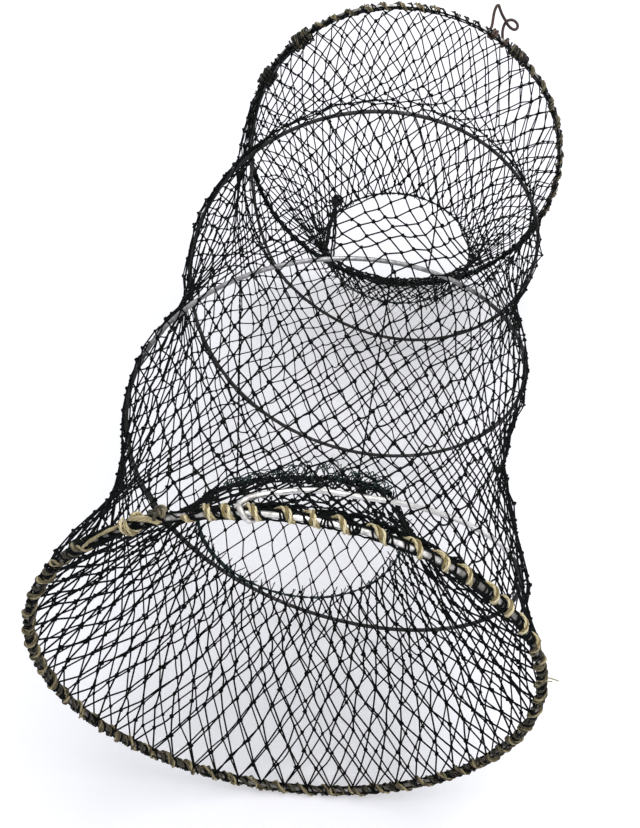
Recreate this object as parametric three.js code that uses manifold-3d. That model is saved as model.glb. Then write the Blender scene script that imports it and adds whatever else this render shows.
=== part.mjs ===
// A collapsible net fish trap: two wire hoops, a coil spring between them, a tube of netting
// with a funnel at each end, and a wire latch. It lies on its side, in millimetres, with +Z up.
// The front hoop is at low Y and the back hoop at high Y. Angles run clockwise from the top,
// seen from the front.
import * as THREE from 'three';
import { mergeVertices } from 'three/addons/utils/BufferGeometryUtils.js';
import Module from 'manifold-3d';

// Hoops and overall shape
const TRAP_LENGTH = 567;
const FRONT_HOOP_RADIUS = 150;
const BACK_HOOP_RADIUS = 147;
const BACK_HOOP_SHIFT = 25;
const HOOP_WIRE_RADIUS = 2;

// Coil spring
const SPRING_RADIUS = 139.4;
const SPRING_WIRE_RADIUS = 1.5;
const SPRING_TURNS = 3.112;
const SPRING_START_ANGLE = -32.7;
const SPRING_BOW = 10.8;
const FIRST_TURN_STRETCH = 0.0424;
const PITCH_UNEVENNESS = 0.013;
const SPRING_TILT = -0.065;
const HOOK_ANGLE = -2.5;
const HOOK_ADVANCE = 1.8;
const HOOK_CLEARANCE = 0.4;
const HOOK_BENDS = [-150, -105, -60, -15, 30, 75, 120];
const HOOK_LEG_ANGLE = 1;
const HOOK_LEG_DROP = 7.4;
const SPRING_END_ANGLE = -33.5;
const SPRING_BEDDED_ANGLE = -62;
const SPRING_EASE_ANGLE = 70;
const HOOK_EXIT = 7.5;
const HOOK_EASE_ANGLE = 15;

// Twine and cord
const TWINE_RADIUS = 1.4;
const WINDING_CLEARANCE = 0.4;
const WHIPPING_GAP = 0.65;
const SPLICE_CLEARANCE = 1.1;
const THROAT_CORD_RADIUS = 1.5;
const TIE_RADIUS = 1;

// Where each winding lies
const FLOOR_LOOP_OFFSET = 0.5;
const FRONT_LASHING_LOOPS = 24;
const FRONT_LASHING_PITCH = 13.8;
const FRONT_LOOPS_BEFORE_FLOOR = 12;
const FRONT_SHORT_LASHING_START = -12.7;
const FRONT_SHORT_LASHING_PITCH = 3.1;
const FRONT_SHORT_LASHING_LOOPS = 2;
const BACK_LASHING_LOOPS = 18;
const BACK_LASHING_PITCH = 12.5;
const BACK_LOOPS_BEFORE_FLOOR = 10;
const BACK_TOP_LASHING_START = -29;
const BACK_TOP_LASHING_LOOPS = 8;
const BACK_TOP_LASHING_PITCH = 7;
const SPLICE_ANGLES = [-56.5, -37];
const SPLICE_LOOPS = 5;
const LATCH_WHIPPING_ANGLE = 43.6;
const LATCH_WHIPPING_LOOPS = 3;

// Netting
const NET_THICKNESS = 1.6;
const NET_WAIST = 15;
const NET_COLUMNS = 36;
const NET_ROWS = 22;
const NET_END_REACH = 45;
const NET_SEAT_GAP = 0.4;
const NET_OVER_WIRE = 2.4;
const WAIST_RAMP = 70;
const HALVINGS = 20;

// Funnels
const FRONT_THROAT = { x: -8, z: -1, radius: 68, depth: 112, lean: 0.12 };
const BACK_THROAT = { x: 30, z: -5, radius: 62, depth: 140, lean: -0.12 };
const FUNNEL_ROWS = 6;
const FUNNEL_SAG = 9;
const TIE_SPREAD = 35;
const FRONT_TIE_TURN_ANGLES = [-20, 20];
const BACK_TIE_TURN_ANGLES = [-10, 30];
const TIE_SAG = 3;

// Knot beside the front lashing
const KNOT_RADIUS = 3.6;
const KNOT_END_RADIUS = 2.6;
const KNOT_LIFT = 6.1;
const KNOT_SIDES = 12;

// Latch
const LATCH_ANGLE = 36;
const LATCH_WIRE_RADIUS = 1.1;
const LATCH_COIL_CLEARANCE = 0.8;
const LATCH_LEAN = 25;
const LATCH_COIL_GAP = 0.6;
const LATCH_COIL_START = -11.2;
const LATCH_COIL_TURNS = 2;
const LATCH_RIGHT_COIL_START = 3;
// The bend between the coils: along the hoop and away from it.
const LATCH_LOOP = [
  [-5.6, 8], [-6.2, 14], [-4.6, 20.5], [-2.2, 25.6], [0, 25.6], [2, 20], [4.6, 15.4], [8, 14.2], [11.6, 15.8],
];
const LATCH_EYE = [[13.6, 9.8], [10.2, 8.8], [7, 11.6], [4.4, 17], [0.8, 16.4], [0.2, 11]];
const LATCH_CROSSING = [14, 13.4];
const LATCH_RIGHT_FOOT = [1.4, 6];

// Facets
const SEAT = 0.3;
const FLOOR_FLAT = 0.3;
const HOOP_SEGMENTS = 72;
const HOOP_SIDES = 6;
const LOOP_STEPS = 8;
const LOOP_SIDES = 5;
const SPRING_STEPS = 36;
const SPRING_SIDES = 6;
const CORD_SEGMENTS = 40;
const CORD_SIDES = 6;
const TIE_STEPS = 6;
const TIE_SIDES = 8;

const degrees = THREE.MathUtils.degToRad;
const octagonReach = 1 / Math.cos(Math.PI / LOOP_STEPS);
const windingReach = (HOOP_WIRE_RADIUS + WINDING_CLEARANCE + TWINE_RADIUS) * octagonReach;
const lashingRadius = windingReach + TWINE_RADIUS;

// How far a hoop's middle stands above the lowest loops of the lashing that it stands on.
function standingHeight(radius, pitch) {
  return (radius + windingReach) * Math.cos(degrees(pitch * FLOOR_LOOP_OFFSET));
}

const hoopDrop = standingHeight(FRONT_HOOP_RADIUS, FRONT_LASHING_PITCH)
  - standingHeight(BACK_HOOP_RADIUS, BACK_LASHING_PITCH);
const frontHoop = { x: 0, y: 0, z: 0, radius: FRONT_HOOP_RADIUS };
const backHoop = { x: BACK_HOOP_SHIFT, y: TRAP_LENGTH, z: -hoopDrop, radius: BACK_HOOP_RADIUS };

// A winding is an oval round a hoop. A splice's oval takes in the spring's end as well.
const roundWinding = { offset: 0, high: windingReach, wide: windingReach };
const bedWidth = HOOP_WIRE_RADIUS + SPRING_WIRE_RADIUS + SEAT / 2;
const spliceWinding = {
  offset: -(SPRING_WIRE_RADIUS + SEAT / 2),
  high: (bedWidth + SPLICE_CLEARANCE + TWINE_RADIUS) * octagonReach,
  wide: (HOOP_WIRE_RADIUS + SPLICE_CLEARANCE + TWINE_RADIUS) * octagonReach,
};
const spliceDepth = spliceWinding.high - spliceWinding.offset + TWINE_RADIUS;
const netStart = spliceWinding.wide + TWINE_RADIUS + NET_SEAT_GAP;

const root = new THREE.Group();

const steel = { color: 0xb4b4b6, roughness: 0.35, metalness: 0.9 };
const brownWire = { color: 0x3b2620, roughness: 0.6, metalness: 0.6 };
const straw = { color: 0xb7a468, roughness: 0.95, metalness: 0 };
const khaki = { color: 0x6b6448, roughness: 0.95, metalness: 0 };
const blackCord = { color: 0x16181a, roughness: 0.85, metalness: 0 };
const blackNet = { color: 0x101416, roughness: 0.8, metalness: 0 };

function addPiece(name, geometry, finish) {
  const piece = new THREE.Mesh(geometry, new THREE.MeshStandardMaterial(finish));
  piece.name = name;
  root.add(piece);
  return piece;
}

// A point beside a hoop: out is away from its centre and along is towards the back.
function besideHoop(hoop, angle, out, along) {
  const turn = degrees(angle);
  const reach = hoop.radius + out;
  return new THREE.Vector3(
    hoop.x + reach * Math.sin(turn), hoop.y + along, hoop.z + reach * Math.cos(turn));
}

function alongHoop(angle) {
  const turn = degrees(angle);
  return new THREE.Vector3(Math.cos(turn), 0, -Math.sin(turn));
}

// A closed tube of flat facets through a list of points, with a flat cap at each end.
function tubeThrough(points, radius, sides) {
  const directions = points.map((point, i) => {
    const before = points[Math.max(i - 1, 0)];
    const after = points[Math.min(i + 1, points.length - 1)];
    return new THREE.Vector3().subVectors(after, before).normalize();
  });
  const lift = Math.abs(directions[0].z) < 0.9 ? new THREE.Vector3(0, 0, 1) : new THREE.Vector3(1, 0, 0);
  const side = new THREE.Vector3().crossVectors(directions[0], lift).normalize();
  const vertices = [];
  for (let i = 0; i < points.length; i += 1) {
    side.addScaledVector(directions[i], -side.dot(directions[i])).normalize();
    const other = new THREE.Vector3().crossVectors(directions[i], side);
    for (let j = 0; j < sides; j += 1) {
      const turn = (2 * Math.PI * j) / sides;
      const corner = points[i].clone();
      corner.addScaledVector(side, radius * Math.cos(turn));
      corner.addScaledVector(other, radius * Math.sin(turn));
      vertices.push(corner.x, corner.y, corner.z);
    }
  }
  const faces = [];
  for (let i = 0; i < points.length - 1; i += 1) {
    for (let j = 0; j < sides; j += 1) {
      const a = i * sides + j;
      const b = i * sides + ((j + 1) % sides);
      faces.push(a, b, b + sides, a, b + sides, a + sides);
    }
  }
  const last = (points.length - 1) * sides;
  for (let j = 1; j < sides - 1; j += 1) {
    faces.push(0, j + 1, j, last, last + j, last + j + 1);
  }
  return meshOf(vertices, faces);
}

function meshOf(vertices, faces) {
  const geometry = new THREE.BufferGeometry();
  geometry.setAttribute('position', new THREE.Float32BufferAttribute(vertices, 3));
  geometry.setIndex(faces);
  return geometry;
}

// The least space between two stretches of one tube that are more than some steps apart.
function leastGap(points, radius, stepsApart) {
  let least = Infinity;
  for (let i = 0; i < points.length; i += 1) {
    for (let j = i + stepsApart; j < points.length; j += 1) {
      least = Math.min(least, points[i].distanceTo(points[j]));
    }
  }
  return least - 2 * radius;
}

function hoopRing(hoop) {
  const ring = new THREE.TorusGeometry(hoop.radius, HOOP_WIRE_RADIUS, HOOP_SIDES, HOOP_SEGMENTS);
  ring.rotateX(Math.PI / 2);
  ring.translate(hoop.x, hoop.y, hoop.z);
  return ring;
}

// One unbroken winding round a hoop. Its loops are ovals, half as high and wide as reach says,
// and both ends run straight along the hoop for one twine diameter.
function windingPoints(hoop, startAngle, pitch, loops, reach) {
  const points = [];
  const steps = loops * LOOP_STEPS;
  for (let i = 0; i <= steps; i += 1) {
    const turn = (2 * Math.PI * i) / LOOP_STEPS;
    const angle = startAngle + (pitch * i) / LOOP_STEPS;
    const out = reach.offset + reach.high * Math.cos(turn);
    points.push(besideHoop(hoop, angle, out, reach.wide * Math.sin(turn)));
  }
  const endAngle = startAngle + pitch * loops;
  const first = points[0].clone().addScaledVector(alongHoop(startAngle), -2 * TWINE_RADIUS);
  const final = points[steps].clone().addScaledVector(alongHoop(endAngle), 2 * TWINE_RADIUS);
  return [first, ...points, final];
}

function addWinding(name, hoop, startAngle, pitch, loops, reach, finish) {
  const points = windingPoints(hoop, startAngle, pitch, loops, reach);
  const gap = leastGap(points, TWINE_RADIUS, LOOP_STEPS / 2 - 1);
  console.log(`${name}: ${loops} loops, least gap to itself ${gap.toFixed(2)} mm`);
  return addPiece(name, tubeThrough(points, TWINE_RADIUS, LOOP_SIDES), finish);
}

// A tight winding, its loops almost touching, centred on an angle.
function addWhipping(name, hoop, centreAngle, loops, reach, finish) {
  const pitch = THREE.MathUtils.radToDeg((2 * TWINE_RADIUS + WHIPPING_GAP) / hoop.radius);
  return addWinding(name, hoop, centreAngle - (pitch * loops) / 2, pitch, loops, reach, finish);
}

// The spring's centre line: where it is along the trap after a given angle of winding. The
// turns in its front half tilt with their tops nearer the front, the others the other way.
function springAlong(angle) {
  const share = (angle - SPRING_START_ANGLE) / (360 * SPRING_TURNS);
  const uneven = PITCH_UNEVENNESS * Math.sin(2 * Math.PI * share);
  const stretch = FIRST_TURN_STRETCH * Math.sin(Math.PI * share);
  const tilt = SPRING_TILT * SPRING_RADIUS * Math.cos(degrees(angle)) * Math.sin(2 * Math.PI * share);
  return TRAP_LENGTH * (share + uneven + stretch) + tilt;
}

// The trap's middle line leans to the back hoop and bows a little the other way.
function middleAt(along) {
  const share = along / TRAP_LENGTH;
  return {
    x: backHoop.x * share - 4 * SPRING_BOW * share * (1 - share),
    z: backHoop.z * share,
  };
}

function springPoint(angle, radius, along) {
  const middle = middleAt(along);
  const turn = degrees(angle);
  return new THREE.Vector3(middle.x + radius * Math.sin(turn), along, middle.z + radius * Math.cos(turn));
}

// A hook over the front hoop, three turns, and an end that beds inside the back hoop.
function springPoints() {
  const points = [];
  const hookReach = (HOOP_WIRE_RADIUS + HOOK_CLEARANCE + SPRING_WIRE_RADIUS) * octagonReach;
  for (const bend of HOOK_BENDS) {
    const angle = HOOK_ANGLE + (HOOK_ADVANCE * bend) / 360;
    const out = hookReach * Math.cos(degrees(bend));
    points.push(besideHoop(frontHoop, angle, out, hookReach * Math.sin(degrees(bend))));
  }
  points.push(besideHoop(frontHoop, HOOK_LEG_ANGLE, -HOOK_LEG_DROP, HOOK_EXIT));
  const step = 360 / SPRING_STEPS;
  const easeFrom = 3 * 360 + SPRING_BEDDED_ANGLE - SPRING_EASE_ANGLE;
  const easeTo = 3 * 360 + SPRING_BEDDED_ANGLE;
  const bedded = -(HOOP_WIRE_RADIUS + SEAT + SPRING_WIRE_RADIUS);
  for (let angle = step; angle < easeTo; angle += step) {
    const share = THREE.MathUtils.smoothstep(angle, easeFrom, easeTo);
    const toHook = 1 - THREE.MathUtils.smoothstep(angle, 0, HOOK_EASE_ANGLE);
    const along = springAlong(angle) - toHook * (springAlong(0) - HOOK_EXIT);
    const coiled = springPoint(angle, SPRING_RADIUS, along);
    const end = besideHoop(backHoop, angle, bedded, 0);
    points.push(coiled.lerp(end, share));
  }
  for (let angle = easeTo; angle < 3 * 360 + SPRING_END_ANGLE; angle += step / 2) {
    points.push(besideHoop(backHoop, angle, bedded, 0));
  }
  points.push(besideHoop(backHoop, SPRING_END_ANGLE, bedded, 0));
  return points;
}

// How far the netting stands from the middle line. It is drawn in between the wire's turns
// and widens to each hoop.
function netRadius(angle, along) {
  const fromEnd = Math.min(along, TRAP_LENGTH - along);
  const endRadius = along < TRAP_LENGTH / 2 ? FRONT_HOOP_RADIUS : BACK_HOOP_RADIUS;
  const overWire = SPRING_RADIUS + SPRING_WIRE_RADIUS + NET_OVER_WIRE;
  const widening = (endRadius - overWire) * Math.exp(-((fromEnd / NET_END_REACH) ** 2));
  const turnsFromWire = windingAngleAt(along) / 360 - angle / 360;
  const drawnIn = (NET_WAIST / 2) * (1 - Math.cos(2 * Math.PI * turnsFromWire));
  const ramp = THREE.MathUtils.smoothstep(fromEnd, 0, WAIST_RAMP);
  return overWire + widening - drawnIn * ramp;
}

// The wire's angle of winding at a place along the trap, found by halving.
function windingAngleAt(along) {
  let low = SPRING_START_ANGLE - 360;
  let high = SPRING_START_ANGLE + 360 * (SPRING_TURNS + 1);
  for (let i = 0; i < HALVINGS; i += 1) {
    const middle = (low + high) / 2;
    if (springAlong(middle) < along) low = middle;
    else high = middle;
  }
  return low;
}

// A tube of sheet with both ends open. place(column, row) gives a point of the sheet's outer
// face and its inner face.
function sheetTube(columns, rows, place) {
  const vertices = [];
  for (let layer = 0; layer < 2; layer += 1) {
    for (let row = 0; row <= rows; row += 1) {
      for (let column = 0; column < columns; column += 1) {
        const point = place(column / columns, row / rows)[layer];
        vertices.push(point.x, point.y, point.z);
      }
    }
  }
  const at = (layer, row, column) => (layer * (rows + 1) + row) * columns + (column % columns);
  const faces = [];
  const addQuad = (a, b, c, d) => faces.push(a, c, b, a, d, c);
  for (let column = 0; column < columns; column += 1) {
    for (let row = 0; row < rows; row += 1) {
      addQuad(at(0, row, column), at(0, row + 1, column), at(0, row + 1, column + 1), at(0, row, column + 1));
      addQuad(at(1, row, column), at(1, row, column + 1), at(1, row + 1, column + 1), at(1, row + 1, column));
    }
    addQuad(at(0, 0, column), at(0, 0, column + 1), at(1, 0, column + 1), at(1, 0, column));
    addQuad(at(0, rows, column), at(1, rows, column), at(1, rows, column + 1), at(0, rows, column + 1));
  }
  return meshOf(vertices, faces);
}

function bodyNet() {
  const length = TRAP_LENGTH - 2 * netStart;
  return sheetTube(NET_COLUMNS, NET_ROWS, (around, share) => {
    const along = netStart + length * share;
    const angle = 360 * around;
    const radius = netRadius(angle, along);
    return [
      springPoint(angle, radius + NET_THICKNESS / 2, along),
      springPoint(angle, radius - NET_THICKNESS / 2, along),
    ];
  });
}

// A funnel from inside a hoop's windings to its throat, a little hollow along its length as
// slack netting is. inward is 1 at the front and -1 at the back.
function funnel(hoop, throat, inward, windingDepth) {
  const rim = hoop.radius - windingDepth - NET_SEAT_GAP;
  return sheetTube(NET_COLUMNS, FUNNEL_ROWS, (around, share) => {
    const turn = 2 * Math.PI * around;
    const sag = FUNNEL_SAG * Math.sin(Math.PI * share);
    const radius = rim + (throat.radius + NET_THICKNESS - rim) * share - sag;
    const x = hoop.x + (throat.x - hoop.x) * share;
    const z = hoop.z + (throat.z - hoop.z) * share;
    const lean = throat.lean * throat.radius * Math.cos(turn) * share;
    const along = hoop.y + inward * throat.depth * share + lean;
    const place = (reach) => new THREE.Vector3(
      x + reach * Math.sin(turn), along, z + reach * Math.cos(turn));
    return [place(radius), place(radius - NET_THICKNESS)];
  });
}

// The back funnel's rows run towards the front, so its faces are turned round.
function turnedOver(geometry) {
  const faces = Array.from(geometry.index.array);
  for (let i = 0; i < faces.length; i += 3) {
    [faces[i + 1], faces[i + 2]] = [faces[i + 2], faces[i + 1]];
  }
  geometry.setIndex(faces);
  return geometry;
}

const cordBeyond = SEAT + THROAT_CORD_RADIUS;

// A point on the middle line of a throat's cord.
function throatCordPoint(hoop, throat, inward, angle) {
  const turn = degrees(angle);
  const reach = throat.radius + NET_THICKNESS / 2;
  const along = hoop.y + inward * (throat.depth + cordBeyond) + throat.lean * reach * Math.cos(turn);
  return new THREE.Vector3(throat.x + reach * Math.sin(turn), along, throat.z + reach * Math.cos(turn));
}

function throatCord(hoop, throat, inward) {
  const reach = throat.radius + NET_THICKNESS / 2;
  const ring = new THREE.TorusGeometry(reach, THROAT_CORD_RADIUS, CORD_SIDES, CORD_SEGMENTS);
  ring.rotateX(Math.PI / 2);
  const places = ring.getAttribute('position');
  for (let i = 0; i < places.count; i += 1) {
    places.setY(i, places.getY(i) + throat.lean * places.getZ(i));
  }
  ring.translate(throat.x, hoop.y + inward * (throat.depth + cordBeyond), throat.z);
  return ring;
}

// How far a tie's end stays from the middle of a round cord or wire that it meets aslant.
function standOff(towards, angle, crossedRadius) {
  const slant = Math.abs(towards.dot(alongHoop(angle)));
  return (crossedRadius + SEAT + TIE_RADIUS * slant) / Math.sqrt(1 - slant * slant);
}

// A tie from the throat cord to a turn of the spring, ending just clear of both.
function tie(hoop, throat, inward, throatAngle, windingAngle) {
  const from = throatCordPoint(hoop, throat, inward, throatAngle);
  const to = springPoint(windingAngle, SPRING_RADIUS, springAlong(windingAngle));
  const towards = to.clone().sub(from).normalize();
  from.addScaledVector(towards, standOff(towards, throatAngle, THROAT_CORD_RADIUS));
  to.addScaledVector(towards, -standOff(towards, windingAngle, SPRING_WIRE_RADIUS));
  const middle = from.clone().lerp(to, 0.5);
  middle.z -= TIE_SAG;
  const section = new THREE.Shape();
  section.absarc(0, 0, TIE_RADIUS, 0, 2 * Math.PI, false);
  return new THREE.ExtrudeGeometry(section, {
    steps: TIE_STEPS,
    curveSegments: TIE_SIDES / 2,
    extrudePath: new THREE.CatmullRomCurve3([from, middle, to]),
  });
}

// The knot that joins the two front lashings, as long as the space between their ends.
function lashingKnot(fromAngle, toAngle) {
  const perDegree = degrees(1) * (FRONT_HOOP_RADIUS + KNOT_LIFT);
  const half = ((toAngle - fromAngle) * perDegree) / 2 - 2 * TWINE_RADIUS - SEAT;
  const profile = [
    [0, -half], [KNOT_END_RADIUS, -half], [KNOT_RADIUS, -half / 2],
    [KNOT_RADIUS, half / 2], [KNOT_END_RADIUS, half], [0, half],
  ].map(([radius, height]) => new THREE.Vector2(radius, height));
  const knot = new THREE.LatheGeometry(profile, KNOT_SIDES);
  const middle = (fromAngle + toAngle) / 2;
  const upright = new THREE.Vector3(0, 1, 0);
  knot.applyQuaternion(new THREE.Quaternion().setFromUnitVectors(upright, alongHoop(middle)));
  const place = besideHoop(frontHoop, middle, KNOT_LIFT, 0);
  knot.translate(place.x, place.y, place.z);
  return knot;
}

// The latch: two turns round the back hoop, a tall bend, a small eye that crosses behind it
// and one more turn. Each point is (along the hoop, away from it, beside it).
function latchPoints() {
  const coilReach = (HOOP_WIRE_RADIUS + LATCH_COIL_CLEARANCE + LATCH_WIRE_RADIUS) * octagonReach;
  const coilPitch = 2 * LATCH_WIRE_RADIUS + LATCH_COIL_GAP;
  const behind = coilReach + coilPitch;
  const between = (coilReach + behind) / 2;
  const points = [];
  const coilSteps = LATCH_COIL_TURNS * LOOP_STEPS;
  for (let i = 0; i <= coilSteps; i += 1) {
    const turn = (2 * Math.PI * i) / LOOP_STEPS;
    const s = LATCH_COIL_START + (coilPitch * i) / LOOP_STEPS;
    points.push([s, coilReach * Math.sin(turn), coilReach * Math.cos(turn)]);
  }
  LATCH_LOOP.forEach(([along, away]) => points.push([along, away, coilReach]));
  points.push([...LATCH_CROSSING, between]);
  LATCH_EYE.forEach(([along, away]) => points.push([along, away, behind]));
  points.push([...LATCH_RIGHT_FOOT, between]);
  for (let i = 0; i <= LOOP_STEPS; i += 1) {
    const turn = (2 * Math.PI * i) / LOOP_STEPS;
    const s = LATCH_RIGHT_COIL_START + (coilPitch * i) / LOOP_STEPS;
    points.push([s, -coilReach * Math.sin(turn), coilReach * Math.cos(turn)]);
  }
  const centre = besideHoop(backHoop, LATCH_ANGLE, 0, 0);
  const tangent = alongHoop(LATCH_ANGLE);
  const outward = besideHoop(backHoop, LATCH_ANGLE, 1, 0).sub(centre);
  const backward = new THREE.Vector3(0, 1, 0);
  const lean = degrees(LATCH_LEAN);
  return points.map(([s, h, w]) => {
    const out = h * Math.cos(lean) - w * Math.sin(lean);
    const back = h * Math.sin(lean) + w * Math.cos(lean);
    const point = centre.clone().addScaledVector(tangent, s);
    return point.addScaledVector(outward, out).addScaledVector(backward, back);
  });
}

// The lashings carry the trap, so the loops that meet the floor are cut flat there.
const wasm = await Module();
wasm.setup();

function solidOf(geometry) {
  const bare = geometry.clone();
  bare.deleteAttribute('normal');
  bare.deleteAttribute('uv');
  const merged = mergeVertices(bare);
  return new wasm.Manifold(new wasm.Mesh({
    numProp: 3,
    vertProperties: merged.getAttribute('position').array,
    triVerts: new Uint32Array(merged.index.array),
  }));
}

function cutAtFloor(piece, floorHeight) {
  const slab = new THREE.BoxGeometry(4 * FRONT_HOOP_RADIUS, 4 * TRAP_LENGTH, FRONT_HOOP_RADIUS);
  slab.translate(0, 0, floorHeight - FRONT_HOOP_RADIUS / 2);
  const cut = solidOf(piece.geometry).subtract(solidOf(slab)).getMesh();
  piece.geometry = meshOf(Array.from(cut.vertProperties), Array.from(cut.triVerts));
}

// Front end
const frontLashingStart = 180 - (FRONT_LOOPS_BEFORE_FLOOR + FLOOR_LOOP_OFFSET) * FRONT_LASHING_PITCH;
const frontLashingEnd = frontLashingStart + FRONT_LASHING_LOOPS * FRONT_LASHING_PITCH - 360;
addPiece('front_hoop', hoopRing(frontHoop), steel);
const frontLashing = addWinding('front_lashing', frontHoop, frontLashingStart,
  FRONT_LASHING_PITCH, FRONT_LASHING_LOOPS, roundWinding, straw);
addWinding('front_short_lashing', frontHoop, FRONT_SHORT_LASHING_START,
  FRONT_SHORT_LASHING_PITCH, FRONT_SHORT_LASHING_LOOPS, roundWinding, straw);
addPiece('front_lashing_knot', lashingKnot(frontLashingEnd, FRONT_SHORT_LASHING_START), straw);
addPiece('front_funnel_net', funnel(frontHoop, FRONT_THROAT, 1, lashingRadius), blackNet);
addPiece('front_throat_cord', throatCord(frontHoop, FRONT_THROAT, 1), blackCord);

// Middle
const springRoute = springPoints();
const springGap = leastGap(springRoute, SPRING_WIRE_RADIUS, SPRING_STEPS / 2);
console.log(`spring_wire: three turns, least gap to itself ${springGap.toFixed(2)} mm`);
addPiece('spring_wire', tubeThrough(springRoute, SPRING_WIRE_RADIUS, SPRING_SIDES), steel);
addPiece('body_net', bodyNet(), blackNet);

// Back end
const backLashingStart = 180 - (BACK_LOOPS_BEFORE_FLOOR + FLOOR_LOOP_OFFSET) * BACK_LASHING_PITCH;
addPiece('back_hoop', hoopRing(backHoop), steel);
const backLashing = addWinding('back_lashing', backHoop, backLashingStart,
  BACK_LASHING_PITCH, BACK_LASHING_LOOPS, roundWinding, blackCord);
addWinding('back_top_lashing', backHoop, BACK_TOP_LASHING_START,
  BACK_TOP_LASHING_PITCH, BACK_TOP_LASHING_LOOPS, roundWinding, khaki);
SPLICE_ANGLES.forEach((angle, i) => {
  addWhipping(`splice_whipping_${i + 1}`, backHoop, angle, SPLICE_LOOPS, spliceWinding, khaki);
});
addWhipping('latch_whipping', backHoop, LATCH_WHIPPING_ANGLE, LATCH_WHIPPING_LOOPS, roundWinding, khaki);
addPiece('back_funnel_net', turnedOver(funnel(backHoop, BACK_THROAT, -1, spliceDepth)), blackNet);
addPiece('back_throat_cord', throatCord(backHoop, BACK_THROAT, -1), blackCord);
addPiece('wire_latch', tubeThrough(latchPoints(), LATCH_WIRE_RADIUS, SPRING_SIDES), brownWire);

// Ties, left and right
['left', 'right'].forEach((hand, i) => {
  const throatAngle = (i === 0 ? -1 : 1) * TIE_SPREAD;
  const frontWinding = 360 + FRONT_TIE_TURN_ANGLES[i];
  const backWinding = 360 + BACK_TIE_TURN_ANGLES[i];
  addPiece(`front_throat_tie_${hand}`, tie(frontHoop, FRONT_THROAT, 1, throatAngle, frontWinding), blackCord);
  addPiece(`back_throat_tie_${hand}`, tie(backHoop, BACK_THROAT, -1, throatAngle, backWinding), blackCord);
});

// Both lashings are cut by the same floor.
const lowestPoints = [frontLashing, backLashing].map(
  (piece) => new THREE.Box3().setFromObject(piece).min.z);
const floorHeight = Math.max(...lowestPoints) + FLOOR_FLAT;
console.log(`lowest points of the lashings: ${lowestPoints.map((z) => z.toFixed(3)).join(', ')} mm`);
cutAtFloor(frontLashing, floorHeight);
cutAtFloor(backLashing, floorHeight);

// The origin is on the floor, under the middle of the trap.
const box = new THREE.Box3().setFromObject(root);
const centre = box.getCenter(new THREE.Vector3());
root.position.set(-centre.x, -centre.y, -box.min.z);
root.updateMatrixWorld(true);

export default root;
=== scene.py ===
# %% [markdown]
# # A collapsible net fish trap, in Blender
# The trap lies on its side: two wire hoops with a coil spring between them, a tube of black
# knotted netting over the spring, a net funnel at each end and a bent wire latch on top.
# The wires are modelled from primitives and curves, the knotted netting from its own
# lattice of knots, and every twine is a real strand. Nothing here changes the CAD model's sizes.

# %% Load the frame
import math
import bpy
import numpy as np
from mathutils import Matrix, Vector


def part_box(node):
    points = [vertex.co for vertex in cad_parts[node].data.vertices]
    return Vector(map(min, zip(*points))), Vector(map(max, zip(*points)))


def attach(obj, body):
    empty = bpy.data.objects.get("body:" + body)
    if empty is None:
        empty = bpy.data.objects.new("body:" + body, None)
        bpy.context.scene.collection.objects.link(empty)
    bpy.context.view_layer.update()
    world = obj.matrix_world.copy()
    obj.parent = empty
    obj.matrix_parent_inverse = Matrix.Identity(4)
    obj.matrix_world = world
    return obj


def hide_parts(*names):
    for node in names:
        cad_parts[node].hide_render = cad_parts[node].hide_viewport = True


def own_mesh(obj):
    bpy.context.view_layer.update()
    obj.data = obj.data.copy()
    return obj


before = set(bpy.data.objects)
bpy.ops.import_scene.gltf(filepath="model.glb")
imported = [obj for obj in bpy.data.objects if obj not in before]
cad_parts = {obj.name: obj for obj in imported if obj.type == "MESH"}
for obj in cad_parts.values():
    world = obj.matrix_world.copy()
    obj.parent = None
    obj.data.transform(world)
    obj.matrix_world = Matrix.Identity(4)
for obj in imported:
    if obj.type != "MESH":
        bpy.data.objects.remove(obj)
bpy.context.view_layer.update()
bpy.ops.object.select_all(action="DESELECT")

# %% [markdown]
# ## The hoops' middles
# Each hoop is upright and faces along Y, so its middle is the middle of its CAD box. Routes
# are easiest to think about in millimetres from the front hoop's middle, with angles that
# run clockwise from the top, seen from the front. One helper turns them into metres.

# %% Hoops and units
MM = 0.001
DEGREE = math.pi / 180
FRONT_RADIUS, BACK_RADIUS = 150.0, 147.0


def middle_of(node):
    low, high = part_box(node)
    return np.array((low + high) / 2)


front_middle = middle_of("front_hoop")
back_offset = (middle_of("back_hoop") - front_middle) / MM
TRAP_LENGTH = back_offset[1]
front_hoop = {"middle": np.zeros(3), "radius": FRONT_RADIUS, "body": "front_end"}
back_hoop = {"middle": back_offset, "radius": BACK_RADIUS, "body": "back_end"}


def in_metres(points):
    return front_middle + np.asarray(points, float) * MM


def beside_hoop(hoop, angle, out, along):
    """Points beside a hoop's wire: out from its middle, along towards the back."""
    turn, reach = np.radians(angle), hoop["radius"] + out
    x, y, z = hoop["middle"]
    return np.stack(np.broadcast_arrays(x + reach * np.sin(turn), y + along, z + reach * np.cos(turn)), -1)


print("back hoop from the front hoop, mm:", back_offset.round(1))

# %% [markdown]
# ## The camera
# The photograph looks down on the trap from in front of its near hoop. The camera was worked
# out from the outlines of both hoops and the coil: it stands half a metre above the hoop's middle
# and looks down by about 47 degrees. The photograph's frame doesn't lie round the middle of
# the view, so the camera has a small shift.

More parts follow.
